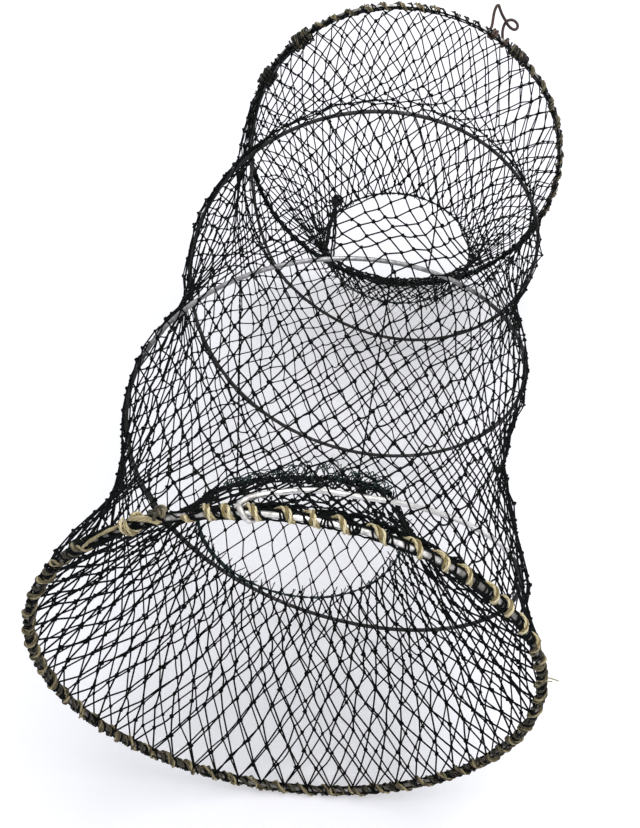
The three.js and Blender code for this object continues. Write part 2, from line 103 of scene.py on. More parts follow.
# %% Camera
FRAME_WIDTH, FRAME_HEIGHT = 640, 828
FOCAL_LENGTH_PX = 1061.0
VIEW_MIDDLE_PX = (401.4, 460.8)
CAMERA_PLACE = (105.5, -322.9, 546.0)
PITCH, YAW, ROLL = 0.8275, -0.1019, -0.02964
camera_data = bpy.data.cameras.new("photo_camera")
camera = bpy.data.objects.new("photo_camera", camera_data)
bpy.context.scene.collection.objects.link(camera)
bpy.context.scene.camera = camera
camera_data.sensor_width = 36
camera_data.lens = camera_data.sensor_width * FOCAL_LENGTH_PX / FRAME_HEIGHT
camera_data.shift_x = (FRAME_WIDTH / 2 - VIEW_MIDDLE_PX[0]) / FRAME_HEIGHT
camera_data.shift_y = (VIEW_MIDDLE_PX[1] - FRAME_HEIGHT / 2) / FRAME_HEIGHT

level = math.cos(PITCH)
forward = Vector((math.sin(YAW) * level, math.cos(YAW) * level, -math.sin(PITCH)))
level_right = Vector((math.cos(YAW), -math.sin(YAW), 0))
level_up = level_right.cross(forward)
right = level_right * math.cos(ROLL) + level_up * math.sin(ROLL)
up = level_up * math.cos(ROLL) - level_right * math.sin(ROLL)
camera.matrix_world = Matrix((right, up, -forward)).transposed().to_4x4()
camera.location = in_metres(CAMERA_PLACE)
print("camera at", [round(v, 3) for v in camera.location], "lens", round(camera_data.lens, 1))

# %% [markdown]
# ## Floor, light and view
# The trap was photographed on white under soft light. A pale floor takes its soft shadow, and
# glows a little for the camera, more so far from the trap, so that the ground stays white
# round it. The world is white to the camera and in reflections, and plain soft light to the rest.

# %% Helpers for nodes
WHITE = (1, 1, 1, 1)


def fill(tree, node, values):
    """Gives a node's inputs their values, or a link where the value is another node's output."""
    for label, value in values.items():
        if isinstance(value, bpy.types.NodeSocket):
            tree.links.new(value, node.inputs[label])
        else:
            node.inputs[label].default_value = value
    return node


def add_node(tree, kind, values=None):
    return fill(tree, tree.nodes.new("ShaderNode" + kind), values or {})


def math_node(tree, operation, first, second=None):
    node = add_node(tree, "Math", {0: first} if second is None else {0: first, 1: second})
    node.operation = operation
    return node.outputs[0]


def mix_shaders(tree, share, first, second):
    return add_node(tree, "MixShader", {0: share, 1: first.outputs[0], 2: second.outputs[0]})


def seen_by_camera(tree):
    """1 where the camera looks, straight or by a glossy surface, and 0 for all other light."""
    ray = add_node(tree, "LightPath")
    return math_node(tree, "MAXIMUM", ray.outputs["Is Camera Ray"], ray.outputs["Is Glossy Ray"])


# %% World
SKY_COLOUR, SKY_STRENGTH = (0.93, 0.95, 1.0, 1), 0.48
bpy.context.scene.view_settings.view_transform = "Standard"
world = bpy.data.worlds.new("studio")
bpy.context.scene.world = world
world.use_nodes = True
sky = world.node_tree
sky.nodes.clear()
soft_light = add_node(sky, "Background", {"Color": SKY_COLOUR, "Strength": SKY_STRENGTH})
white_view = add_node(sky, "Background", {"Color": WHITE})
world_view = mix_shaders(sky, seen_by_camera(sky), soft_light, white_view)
add_node(sky, "OutputWorld", {"Surface": world_view.outputs[0]})
print("world:", world.name, "at strength", SKY_STRENGTH)


# %% Lamps
def softbox(name, place, aim, size, power):
    """A square lamp that faces aim. Lengths are in metres, its power is in watts."""
    lamp = bpy.data.lights.new(name, "AREA")
    lamp.shape, lamp.size, lamp.energy = "SQUARE", size, power
    box = bpy.data.objects.new(name, lamp)
    bpy.context.scene.collection.objects.link(box)
    box.location = place
    box.rotation_euler = (Vector(aim) - Vector(place)).to_track_quat("-Z", "Y").to_euler()
    print(f"{name}: {size} m square, {power} W")


softbox("top_softbox", place=(0.55, 0.0, 1.9), aim=(0, 0, 0), size=1.7, power=26)
softbox("front_fill", place=(0.9, -1.6, 1.2), aim=(0, 0, 0.15), size=1.4, power=7)

# %% Floor
FLOOR_SIZE, PAPER_COLOUR = 14, (0.82, 0.82, 0.87, 1)
GLOW_FROM, GLOW_TO, NEAR_GLOW, FAR_GLOW = 0.7, 2.0, 0.32, 1.0
bpy.ops.mesh.primitive_plane_add(size=FLOOR_SIZE, location=(0, 0, 0))
floor = bpy.context.active_object
floor.name = "studio_floor"
floor_paper = bpy.data.materials.new("white_floor_paper")
floor_paper.use_nodes = True
tree = floor_paper.node_tree
tree.nodes.clear()
paper = add_node(tree, "BsdfDiffuse", {"Color": PAPER_COLOUR})
floor_place = add_node(tree, "TexCoord")
far = add_node(tree, "VectorMath", {0: floor_place.outputs["Object"]})
far.operation = "LENGTH"
whiter = add_node(tree, "MapRange", {
    "Value": far.outputs["Value"], "From Min": GLOW_FROM, "From Max": GLOW_TO,
    "To Min": NEAR_GLOW, "To Max": FAR_GLOW})
glow = add_node(tree, "Emission", {"Color": WHITE, "Strength": whiter.outputs["Result"]})
no_glow = add_node(tree, "Emission", {"Strength": 0})
only_seen = mix_shaders(tree, seen_by_camera(tree), no_glow, glow)
both = add_node(tree, "AddShader", {0: paper.outputs[0], 1: only_seen.outputs[0]})
add_node(tree, "OutputMaterial", {"Surface": both.outputs[0]})
floor.data.materials.append(floor_paper)
bpy.ops.object.select_all(action="DESELECT")
print(f"{floor.name}: {FLOOR_SIZE} m square")

# %% [markdown]
# ## Effects that several materials share
# Twine is twisted from plies, so its surface has slanting ridges, its fibres vary in colour and
# its grooves are painted darker as painted shade. Metal has broad stains and fine specks, and
# some wire a painted highlight. Each effect is a node group with named sockets, built once, and
# each material gives it its own values.

# %% Helpers for node groups
FLOAT, COLOUR = "NodeSocketFloat", "NodeSocketColor"


def new_group(name, inputs, outputs):
    """A group with named sockets: inputs with their first values, outputs with their kinds."""
    group = bpy.data.node_groups.new(name, "ShaderNodeTree")
    for label, value in inputs.items():
        kind = COLOUR if isinstance(value, tuple) else FLOAT
        socket = group.interface.new_socket(name=label, in_out="INPUT", socket_type=kind)
        socket.default_value = value
    for label, kind in outputs.items():
        group.interface.new_socket(name=label, in_out="OUTPUT", socket_type=kind)
    print("group:", name)
    return group, group.nodes.new("NodeGroupInput"), group.nodes.new("NodeGroupOutput")


def blend_colours(tree, share, first, second):
    """A colour between two, from the first at 0 to the second at 1."""
    blend = tree.nodes.new("ShaderNodeMix")
    blend.data_type = "RGBA"
    return fill(tree, blend, {"Factor": share, "A": first, "B": second}).outputs["Result"]


# %% Group: the twist of a twine
GROOVE_SHARPNESS = 3.0
twist_group, twist_in, twist_out = new_group(
    "Twine twist", {"Plies": 3.0, "Twists per metre": 300.0}, {"Height": FLOAT, "Groove": FLOAT})
length_map = add_node(twist_group, "UVMap")
length_map.uv_map = "UVMap"
split = add_node(twist_group, "SeparateXYZ", {0: length_map.outputs["UV"]})
round_part = math_node(twist_group, "MULTIPLY", split.outputs["X"], twist_in.outputs["Plies"])
long_part = math_node(twist_group, "MULTIPLY", split.outputs["Y"], twist_in.outputs["Twists per metre"])
half_turns = math_node(twist_group, "MULTIPLY", math_node(twist_group, "ADD", round_part, long_part), math.pi)
ridge = math_node(twist_group, "ABSOLUTE", math_node(twist_group, "SINE", half_turns))
groove = math_node(twist_group, "POWER", math_node(twist_group, "SUBTRACT", 1.0, ridge), GROOVE_SHARPNESS)
fill(twist_group, twist_out, {"Height": ridge, "Groove": groove})

# %% Group: the colour of fibres
PATCH_SHARE, FUZZ_SHARE, GROOVE_PAINTED_SHADE = 0.8, 0.5, 0.5
FUZZ_SCALE, DARKEST, LIGHTEST = 2600, 0.15, 1.15
fibre_group, fibre_in, fibre_out = new_group(
    "Fibre colour",
    {"Light": (0.7, 0.6, 0.4, 1), "Dark": (0.3, 0.25, 0.15, 1), "Patch scale": 60.0, "Groove": 0.0},
    {"Color": COLOUR, "Fuzz": FLOAT})
place = add_node(fibre_group, "TexCoord")
patches = add_node(fibre_group, "TexNoise", {
    "Vector": place.outputs["Object"], "Scale": fibre_in.outputs["Patch scale"], "Detail": 4})
fuzz = add_node(fibre_group, "TexNoise", {
    "Vector": place.outputs["Object"], "Scale": FUZZ_SCALE, "Detail": 2})
own_shade = add_node(fibre_group, "Attribute")
own_shade.attribute_name = "strand_shade"
patchy = math_node(fibre_group, "MULTIPLY", patches.outputs["Fac"], PATCH_SHARE)
fuzzy = math_node(fibre_group, "MULTIPLY", fuzz.outputs["Fac"], FUZZ_SHARE)
# The twist's grooves are painted darker: painted shade between the plies.
in_groove = math_node(fibre_group, "MULTIPLY", fibre_in.outputs["Groove"], GROOVE_PAINTED_SHADE)
lightness = math_node(fibre_group, "SUBTRACT", math_node(fibre_group, "ADD", patchy, fuzzy), in_groove)
lightness = math_node(fibre_group, "ADD", lightness, own_shade.outputs["Fac"])
share = add_node(fibre_group, "MapRange", {"Value": lightness, "From Min": DARKEST, "From Max": LIGHTEST})
fill(fibre_group, fibre_out, {"Fuzz": fuzz.outputs["Fac"], "Color": blend_colours(
    fibre_group, share.outputs["Result"], fibre_in.outputs["Dark"], fibre_in.outputs["Light"])})

# %% Group: stains, specks and painted highlights on wire
SPECK_SCALE, SPECK_SHARE, STAIN_FROM, STAIN_TO = 420, 0.25, 0.95, 1.35
CLEAN_ROUGHNESS, STAIN_ROUGHNESS, SPECK_ROUGHNESS = 0.28, 0.35, 0.12
stain_group, stain_in, stain_out = new_group(
    "Wire stains",
    {"Clean": (0.7, 0.7, 0.7, 1), "Stained": (0.3, 0.28, 0.25, 1), "Stain scale": 25.0, "Stain share": 0.5},
    {"Color": COLOUR, "Roughness": FLOAT, "Height": FLOAT})
place = add_node(stain_group, "TexCoord")
broad = add_node(stain_group, "TexNoise", {
    "Vector": place.outputs["Object"], "Scale": stain_in.outputs["Stain scale"],
    "Detail": 6, "Roughness": 0.65})
specks = add_node(stain_group, "TexVoronoi", {"Vector": place.outputs["Object"], "Scale": SPECK_SCALE})
# The wire's own attribute adds stain, and takes stain away where a highlight is painted.
stain_and_highlight = add_node(stain_group, "Attribute")
stain_and_highlight.attribute_name = "stain_and_highlight"
cloud, speck = broad.outputs["Fac"], specks.outputs["Distance"]
stained = math_node(stain_group, "ADD", cloud, stain_in.outputs["Stain share"])
stained = math_node(stain_group, "ADD", stained, math_node(stain_group, "MULTIPLY", speck, SPECK_SHARE))
stained = math_node(stain_group, "ADD", stained, stain_and_highlight.outputs["Fac"])
edge = add_node(stain_group, "MapRange", {"Value": stained, "From Min": STAIN_FROM, "From Max": STAIN_TO})
share = edge.outputs["Result"]
stain_rough = math_node(stain_group, "MULTIPLY", share, STAIN_ROUGHNESS)
speck_rough = math_node(stain_group, "MULTIPLY", speck, SPECK_ROUGHNESS)
rough = math_node(stain_group, "ADD", CLEAN_ROUGHNESS, stain_rough)
rough = math_node(stain_group, "ADD", rough, speck_rough)
fill(stain_group, stain_out, {
    "Color": blend_colours(stain_group, share, stain_in.outputs["Clean"], stain_in.outputs["Stained"]),
    "Roughness": rough, "Height": math_node(stain_group, "ADD", cloud, speck)})

# %% [markdown]
# ## The finishes
# Galvanised hoop wire is pale and cloudy, the spring is a darker drawn wire, and the latch is
# brown with rust. The twines are straw, weathered olive, khaki and black. The netting is
# black twine with a cold green cast, which shows where it lies thick.

# %% Wire materials
WIRE_BUMP, TWINE_BUMP, FUZZ_RELIEF, TWINE_ROUGHNESS = 0.5, 0.9, 0.25, 0.82


def new_material(name):
    """A new material, with its node tree and its shader."""
    material = bpy.data.materials.new(name)
    material.use_nodes = True
    print("material:", name)
    return material, material.node_tree, material.node_tree.nodes["Principled BSDF"]


def add_group(tree, group, values):
    node = tree.nodes.new("ShaderNodeGroup")
    node.node_tree = group
    return fill(tree, node, values)


def wire_material(name, clean, stained, scale, share, metallic, bump):
    material, tree, shader = new_material(name)
    stains = add_group(tree, stain_group, {
        "Clean": (*clean, 1), "Stained": (*stained, 1), "Stain scale": scale, "Stain share": share})
    lumps = add_node(tree, "Bump", {
        "Strength": WIRE_BUMP, "Distance": bump, "Height": stains.outputs["Height"]})
    fill(tree, shader, {
        "Metallic": metallic, "Base Color": stains.outputs["Color"],
        "Roughness": stains.outputs["Roughness"], "Normal": lumps.outputs["Normal"]})
    return material


galvanised = wire_material("galvanised_wire", clean=(0.74, 0.73, 0.72), stained=(0.20, 0.19, 0.18),
                           scale=30, share=0.50, metallic=1.0, bump=0.0004)
drawn_wire = wire_material("grey_spring_wire", clean=(0.40, 0.40, 0.41), stained=(0.045, 0.045, 0.045),
                           scale=18, share=0.58, metallic=1.0, bump=0.0003)
rusty_wire = wire_material("brown_latch_wire", clean=(0.085, 0.045, 0.035), stained=(0.022, 0.013, 0.011),
                           scale=60, share=0.5, metallic=0.35, bump=0.0006)


# %% Twine materials
def twine_material(name, light, dark, plies, twists, bump, patch=70, sheen=0.12, gloss=0.3):
    material, tree, shader = new_material(name)
    twist = add_group(tree, twist_group, {"Plies": plies, "Twists per metre": twists})
    fibres = add_group(tree, fibre_group, {
        "Light": (*light, 1), "Dark": (*dark, 1), "Patch scale": patch, "Groove": twist.outputs["Groove"]})
    relief = add_node(tree, "Math", {0: fibres.outputs["Fuzz"], 1: FUZZ_RELIEF, 2: twist.outputs["Height"]})
    relief.operation = "MULTIPLY_ADD"
    lumps = add_node(tree, "Bump", {"Strength": TWINE_BUMP, "Distance": bump, "Height": relief.outputs[0]})
    fill(tree, shader, {
        "Roughness": TWINE_ROUGHNESS, "Specular IOR Level": gloss, "Sheen Weight": sheen,
        "Base Color": fibres.outputs["Color"], "Normal": lumps.outputs["Normal"]})
    return material


straw = twine_material("straw_twine", (0.88, 0.77, 0.48), (0.25, 0.19, 0.07), 3, 330, 0.0005)
olive = twine_material("weathered_olive_twine", (0.50, 0.42, 0.23), (0.075, 0.06, 0.03), 3, 330, 0.0005)
khaki = twine_material("khaki_twine", (0.34, 0.29, 0.17), (0.035, 0.03, 0.02), 3, 300, 0.0005)
black_cord = twine_material("black_lashing_cord", (0.011, 0.012, 0.011), (0.002, 0.002, 0.002),
                            3, 300, 0.0005, gloss=0.15)
net_twine = twine_material("black_net_twine", (0.006, 0.008, 0.008), (0.001, 0.0015, 0.0015),
                           2, 420, 0.0003, sheen=0.0, gloss=0.08)
teal_cord = twine_material("dark_teal_cord", (0.022, 0.062, 0.058), (0.004, 0.012, 0.012),
                           3, 380, 0.0004, gloss=0.2)

# %% [markdown]
# ## Strands
# Twine, cord and netting are all round strands along routes, thousands of them. One helper
# sweeps many strands at once: it carries a ring of points along each route without twisting it,
# closes the ends, and stores how far each point is along the strand in the UV map, in
# metres, so that the twist of the twine follows it round every bend.

# %% Sweep strands along routes
NEARLY_UPRIGHT = 0.9


def sweep(name, routes, radius, sides=6, closed=False, shade=None):
    """One mesh of round strands. routes is (strands, points, 3) in millimetres."""
    routes = in_metres(routes)
    strands, count, _ = routes.shape
    if closed:
        ahead = np.roll(routes, -1, 1) - np.roll(routes, 1, 1)
    else:
        ahead = np.gradient(routes, axis=1)
    ahead /= np.linalg.norm(ahead, axis=2, keepdims=True)
    guess = np.where(np.abs(ahead[:, :1, 2:]) < NEARLY_UPRIGHT, [0.0, 0, 1], [1.0, 0, 0])[:, 0]
    side = np.cross(ahead[:, 0], guess)
    sides_along = np.empty_like(routes)
    for k in range(count):
        side = side - (side * ahead[:, k]).sum(1, keepdims=True) * ahead[:, k]
        side /= np.linalg.norm(side, axis=1, keepdims=True)
        sides_along[:, k] = side
    other = np.cross(ahead, sides_along)
    turn = 2 * np.pi * np.arange(sides) / sides
    rings = routes[:, :, None] + radius * MM * (
        np.cos(turn)[:, None] * sides_along[:, :, None] + np.sin(turn)[:, None] * other[:, :, None])
    steps = np.linalg.norm(np.diff(routes, axis=1), axis=2)
    far = np.concatenate([np.zeros((strands, 1)), np.cumsum(steps, 1)], 1)
    spans = count if closed else count - 1
    s, k, j = np.meshgrid(np.arange(strands), np.arange(spans), np.arange(sides), indexing="ij")
    k2, j2 = (k + 1) % count, (j + 1) % sides
    corner = lambda a, b: (s * count + a) * sides + b
    quads = np.stack([corner(k, j), corner(k, j2), corner(k2, j2), corner(k2, j)], -1).reshape(-1, 4)
    closing = np.linalg.norm(routes[:, 0] - routes[:, -1], axis=1)[s]
    far_end = far[s, k] + np.where(k2 == 0, closing, far[s, k2] - far[s, k])
    across, across2 = j / sides, (j + 1) / sides
    uv = np.stack([np.stack([across, far[s, k]], -1), np.stack([across2, far[s, k]], -1),
                   np.stack([across2, far_end], -1), np.stack([across, far_end], -1)], -2).reshape(-1, 2)
    faces = quads.tolist()
    if not closed:
        first = np.arange(strands)[:, None] * count * sides + np.arange(sides)[::-1]
        last = (np.arange(strands)[:, None] * count + count - 1) * sides + np.arange(sides)
        faces += first.tolist() + last.tolist()
        uv = np.concatenate([uv, np.zeros((2 * strands * sides, 2))])
    shade = np.zeros(strands) if shade is None else shade
    return mesh_piece(name, rings.reshape(-1, 3), faces, uv, np.repeat(shade, count * sides))


def mesh_piece(name, points, faces, uv, shade):
    mesh = bpy.data.meshes.new(name)
    mesh.from_pydata(points.tolist(), [], faces)
    mesh.polygons.foreach_set("use_smooth", np.ones(len(mesh.polygons), bool))
    layer = mesh.uv_layers.new(name="UVMap")
    layer.data.foreach_set("uv", np.ascontiguousarray(uv, np.float32).ravel())
    tone = mesh.attributes.new("strand_shade", "FLOAT", "POINT")
    tone.data.foreach_set("value", np.ascontiguousarray(shade, np.float32))
    piece = bpy.data.objects.new(name, mesh)
    bpy.context.scene.collection.objects.link(piece)
    return piece


# %% Finish a piece
piece_count = {"pieces": 0, "triangles": 0}


def settle(piece, body, material, replaced=(), folds=False):
    """Gives a piece its finish and body. A piece that folds gets a mesh of its own."""
    piece.data.materials.clear()
    piece.data.materials.append(material)
    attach(piece, body)
    if replaced:
        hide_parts(*replaced)
    if folds:
        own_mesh(piece)
    piece.data.calc_loop_triangles()
    count = len(piece.data.loop_triangles)
    piece_count["pieces"] += 1
    piece_count["triangles"] += count
    print(f"{piece.name}: {count} triangles on {body}")


# %% Unevenness made by hand
FULL_TURN = 6.28


def wander(values, amount, seed, waves=5):
    """A smooth random curve, the same every time, for hand-made unevenness."""
    chance = np.random.default_rng(seed)
    total = np.zeros_like(np.asarray(values, float))
    for n in range(1, waves + 1):
        height, pace, start = chance.normal(), chance.uniform(0.7, 1.3), chance.uniform(0, FULL_TURN)
        total += height * np.sin(n * values * pace + start) / math.sqrt(n)
    return amount * total / math.sqrt(waves)


def near(angle, middle, width):
    """1 at the middle angle, falling to 0 a few widths away."""
    return np.exp(-(((angle - middle + 180) % 360 - 180) / width) ** 2)


# %% [markdown]
# ## The two hoops
# Each hoop is one ring of galvanised wire, 3.5 mm thick as in the photograph, where the CAD model
# has 4 mm. A torus primitive already has that form, so it is added at the hoop's size, turned
# upright, and roughened a little with a Displace modifier, as hot zinc leaves the wire. The
# modifier is applied so that the mesh is final.

# %% How stained a wire is, and where a highlight is painted on it
def paint_stain_and_highlight(wire, amount):
    """Stores how stained the wire is at each point, less where a highlight is painted, for its material to
    read.
    """
    stain_and_highlight = wire.data.attributes.new("stain_and_highlight", "FLOAT", "POINT")
    points = (np.array([v.co for v in wire.data.vertices]) - front_middle) / MM
    stain_and_highlight.data.foreach_set("value", amount(points).astype(np.float32))


# %% Make the hoops
HOOP_WIRE, ZINC_RELIEF = 1.75, 0.0003
# The hoops carry an even stain, and a painted highlight near their tops.
HOOP_STAIN, HOOP_HIGHLIGHT, HIGHLIGHT_ANGLE, HIGHLIGHT_WIDTH = 0.24, 0.40, 14, 26
zinc_runs = bpy.data.textures.new("zinc_runs", "CLOUDS")
zinc_runs.noise_scale = 0.012


def hoop_stain_and_highlight(points):
    """The hoops are painted lighter near their tops, right of the hook, as a painted highlight, and dark down
    their sides with an even stain.
    """
    middle = np.where(points[:, 1:2] < TRAP_LENGTH / 2, [front_hoop["middle"]], [back_hoop["middle"]])
    angle = np.degrees(np.arctan2(points[:, 0] - middle[:, 0], points[:, 2] - middle[:, 2]))
    return HOOP_STAIN - HOOP_HIGHLIGHT * near(angle, HIGHLIGHT_ANGLE, HIGHLIGHT_WIDTH)


def wire_hoop(name, node, hoop):
    bpy.ops.object.select_all(action="DESELECT")
    bpy.ops.mesh.primitive_torus_add(
        location=tuple(in_metres(hoop["middle"])), rotation=(math.pi / 2, 0, 0), major_segments=288,
        minor_segments=14, major_radius=hoop["radius"] * MM, minor_radius=HOOP_WIRE * MM)
    ring = bpy.context.active_object
    ring.name = name
    bpy.ops.object.transform_apply(location=True, rotation=True, scale=True)
    lumps = ring.modifiers.new("zinc", "DISPLACE")
    lumps.texture, lumps.texture_coords = zinc_runs, "LOCAL"
    lumps.strength, lumps.mid_level = ZINC_RELIEF, 0.5
    bpy.ops.object.modifier_apply(modifier="zinc")
    bpy.ops.object.shade_smooth()
    paint_stain_and_highlight(ring, hoop_stain_and_highlight)
    settle(ring, hoop["body"], galvanised, [node])


wire_hoop("front_hoop_wire", "front_hoop", front_hoop)
wire_hoop("back_hoop_wire", "back_hoop", back_hoop)

# %% [markdown]
# ## The coil spring
# One 3 mm wire: a hook that grips the front hoop, three turns, and an end that lies inside the
# back hoop under two splices. When the trap folds the coil flattens between the hoops, but
# the hook and the bedded end keep their shape. So the wire is made in four lengths that meet: the
# hook and a first arc, both given the paler galvanised finish as a painted highlight, the rest of
# the coil, and the end in its bed. Each is a curve with a round bevel, the usual way to make bent
# wire, turned to a mesh.

# %% The coil's route, as in the CAD model
SPRING_RADIUS, SPRING_TURNS, SPRING_START = 139.4, 3.112, -32.7
SPRING_BOW, FIRST_TURN_STRETCH, PITCH_UNEVENNESS, SPRING_TILT = 10.8, 0.0424, 0.013, -0.065


def spring_along(angle):
    share = (angle - SPRING_START) / (360 * SPRING_TURNS)
    uneven = PITCH_UNEVENNESS * np.sin(2 * np.pi * share) + FIRST_TURN_STRETCH * np.sin(np.pi * share)
    tilt = SPRING_TILT * SPRING_RADIUS * np.cos(np.radians(angle)) * np.sin(2 * np.pi * share)
    return TRAP_LENGTH * (share + uneven) + tilt


def middle_at(along):
    share = along / TRAP_LENGTH
    return back_offset[0] * share - 4 * SPRING_BOW * share * (1 - share), back_offset[2] * share


def round_middle(angle, radius, along):
    """Points round the trap's middle line, which bows a little between the hoops."""
    x, z = middle_at(along)
    turn = np.radians(angle)
    return np.stack(np.broadcast_arrays(x + radius * np.sin(turn), along, z + radius * np.cos(turn)), -1)


# %% Helpers for smooth routes
def smoothstep(value, low, high):
    share = np.clip((value - low) / (high - low), 0, 1)
    return share * share * (3 - 2 * share)


def smooth_route(points, between):
    """A smooth curve through a few points (Catmull-Rom)."""
    points = np.asarray(points, float)
    padded = np.vstack([2 * points[0] - points[1], points, 2 * points[-1] - points[-2]])
    t = np.linspace(0, 1, between, endpoint=False)[:, None]
    route = []
    for a, b, c, d in zip(padded, padded[1:], padded[2:], padded[3:]):
        square, cube = 2 * a - 5 * b + 4 * c - d, 3 * b - a - 3 * c + d
        route.append(0.5 * (2 * b + (c - a) * t + square * t**2 + cube * t**3))
    return np.vstack([*route, points[-1:]])


# %% Bend a wire along a route
SHARP_EDGE = math.radians(50)


def bent_wire(name, route, radius, smooth=5):
    curve = bpy.data.curves.new(name, "CURVE")
    curve.dimensions, curve.bevel_depth, curve.bevel_resolution = "3D", radius * MM, smooth
    curve.use_fill_caps = True
    line = curve.splines.new("POLY")
    line.points.add(len(route) - 1)
    for point, place in zip(line.points, in_metres(route)):
        point.co = (*place, 1)
    wire = bpy.data.objects.new(name, curve)
    bpy.context.scene.collection.objects.link(wire)
    bpy.ops.object.select_all(action="DESELECT")
    wire.select_set(True)
    bpy.context.view_layer.objects.active = wire
    bpy.ops.object.convert(target="MESH")
    bpy.ops.object.shade_smooth_by_angle(angle=SHARP_EDGE)
    wire = bpy.context.active_object
    wire.select_set(False)
    return wire


# %% The whole wire: hook, coil and the end in its bed
HOOK_ANGLE, HOOK_ADVANCE, HOOK_REACH, HOOK_FROM, HOOK_TO, HOOK_STEP = -2.6, -5.0, 3.6, -165, 45, 15.0
LEG_ANGLE, LEG_OUT, HOOK_EXIT, HOOK_RISE, RISE_EASE = -0.4, 1.6, 10.0, 7.0, 24
COIL_STEP, LEAVE_EASE, LEAVE_GAP = 10.0, 15, 8
BED_FROM, BED_TO, BED_STEP, BED_EASE, BED_DEPTH = 3 * 360 - 62.0, 3 * 360 - 33.5, 4.75, 70.0, 3.8
POINTS_BETWEEN = 5
bends = np.arange(HOOK_FROM, HOOK_TO + 1, HOOK_STEP)
hook = beside_hoop(front_hoop, HOOK_ANGLE + HOOK_ADVANCE * bends / 360,
                   HOOK_REACH * np.cos(np.radians(bends)), HOOK_REACH * np.sin(np.radians(bends)))
leg = beside_hoop(front_hoop, LEG_ANGLE, LEG_OUT, HOOK_EXIT)
winding = np.arange(COIL_STEP, BED_FROM, COIL_STEP)
leaving = 1 - smoothstep(winding, 0, LEAVE_EASE)
along = spring_along(winding) - leaving * (spring_along(0) - HOOK_EXIT - LEAVE_GAP)
coil = round_middle(winding, SPRING_RADIUS + HOOK_RISE * (1 - smoothstep(winding, 0, RISE_EASE)), along)
to_bed = smoothstep(winding, BED_FROM - BED_EASE, BED_FROM)[:, None]
coil += (beside_hoop(back_hoop, winding, -BED_DEPTH, 0) - coil) * to_bed
bed = beside_hoop(back_hoop, np.arange(BED_FROM, BED_TO + 0.1, BED_STEP), -BED_DEPTH, 0)
whole = smooth_route(np.vstack([hook, leg, coil, bed]), POINTS_BETWEEN)
wire_length = np.linalg.norm(np.diff(whole, axis=0), axis=1).sum() * MM
print("length of the spring wire, m:", round(float(wire_length), 2))

# %% Bend the hook, the first arc with its painted highlight, and the coil
SPRING_WIRE, BRIGHT_STEPS = 1.5, 6
COIL_STAIN, COIL_HIGHLIGHT, ARC_HIGHLIGHT = 0.22, 0.36, -0.2
# The coil's top in its front half is painted lighter: a painted highlight.
HIGHLIGHT_HEIGHTS, HIGHLIGHT_ALONG = (0.3, 0.95), (260, 380)
hook_end = POINTS_BETWEEN * len(hook)
bright_end = POINTS_BETWEEN * (len(hook) + 1 + BRIGHT_STEPS)
coil_end = POINTS_BETWEEN * (len(hook) + 1 + len(coil))
# The hook and the first arc take the paler galvanised finish as a painted highlight.
spring_hook = bent_wire("spring_hook", whole[: hook_end + 1], SPRING_WIRE)
settle(spring_hook, "front_end", galvanised)
bright_arc = bent_wire("coil_spring_bright_arc", whole[hook_end : bright_end + 1], SPRING_WIRE)
settle(bright_arc, "front_end", galvanised, ["spring_wire"], folds=True)
coil_spring = bent_wire("coil_spring", whole[bright_end : coil_end + 1], SPRING_WIRE)


def coil_stain_and_highlight(points):
    """The coil is painted lighter along its top in its front half, a painted highlight, and evenly stained
    elsewhere.
    """
    height = (points[:, 2] - middle_at(points[:, 1])[1]) / SPRING_RADIUS
    painted_lit_top = smoothstep(height, *HIGHLIGHT_HEIGHTS) * (1 - smoothstep(points[:, 1], *HIGHLIGHT_ALONG))
    return COIL_STAIN - COIL_HIGHLIGHT * painted_lit_top


paint_stain_and_highlight(coil_spring, coil_stain_and_highlight)
# The first arc is painted less stained all along: a painted highlight.
paint_stain_and_highlight(bright_arc, lambda points: np.full(len(points), ARC_HIGHLIGHT))
settle(coil_spring, "front_end", drawn_wire, ["spring_wire"], folds=True)
spring_tail = bent_wire("spring_tail", whole[coil_end:], SPRING_WIRE)
settle(spring_tail, "back_end", drawn_wire)

# %% [markdown]
# ## The netting's lattice
# The net is hand-knotted: a lattice of diamonds whose sides, the bars, are all 14.2 mm long, with a
# hard little knot at each crossing. Photographs of a net pasted on a sheet never look right,
# because the bars hang slack one by one, so the lattice itself is modelled. The knots are laid
# on the net's surface, pulled together where a bar would be too long, and each bar
# that is longer than the gap it spans droops or bows.

# %% Where the body net lies
NET_OVER_WIRE, NET_END_REACH, RIM_OVER, WAIST_RAMP = 1.7, 45.0, 1.0, 70.0
NET_WAIST, WAIST_TOP_SHARE, WAIST_POWER = 15.0, 0.2, 1.2
table_angle = np.linspace(SPRING_START - 360, SPRING_START + 360 * (SPRING_TURNS + 1), 4000)
table_along = spring_along(table_angle)


def net_radius(angle, along):
    from_end = np.minimum(along, TRAP_LENGTH - along)
    end_radius = np.where(along < TRAP_LENGTH / 2, FRONT_RADIUS, BACK_RADIUS) + RIM_OVER
    over_wire = SPRING_RADIUS + SPRING_WIRE + NET_OVER_WIRE
    widening = (end_radius - over_wire) * np.exp(-((from_end / NET_END_REACH) ** 2))
    turns = (np.interp(along, table_along, table_angle) - angle) / 360
    waist = NET_WAIST * (1 + WAIST_TOP_SHARE * np.cos(np.radians(angle)))
    drawn = waist * np.abs(np.sin(np.pi * turns)) ** WAIST_POWER
    return over_wire + widening - drawn * smoothstep(from_end, 0, WAIST_RAMP)


# %% Knots, pulled together where a bar is too long
MESHES, BAR, ROUNDS, PULL_SHARE, LEAST_RADIUS = 58, 14.2, 80, 0.3, 40


def neighbours(rows):
    """For each row but the last, the next row's knot to the right and to the left."""
    index = np.arange(MESHES)
    right_of = [(index + (j % 2)) % MESHES for j in range(rows)]
    left_of = [(index + (j % 2) - 1) % MESHES for j in range(rows)]
    return np.array(right_of), np.array(left_of)


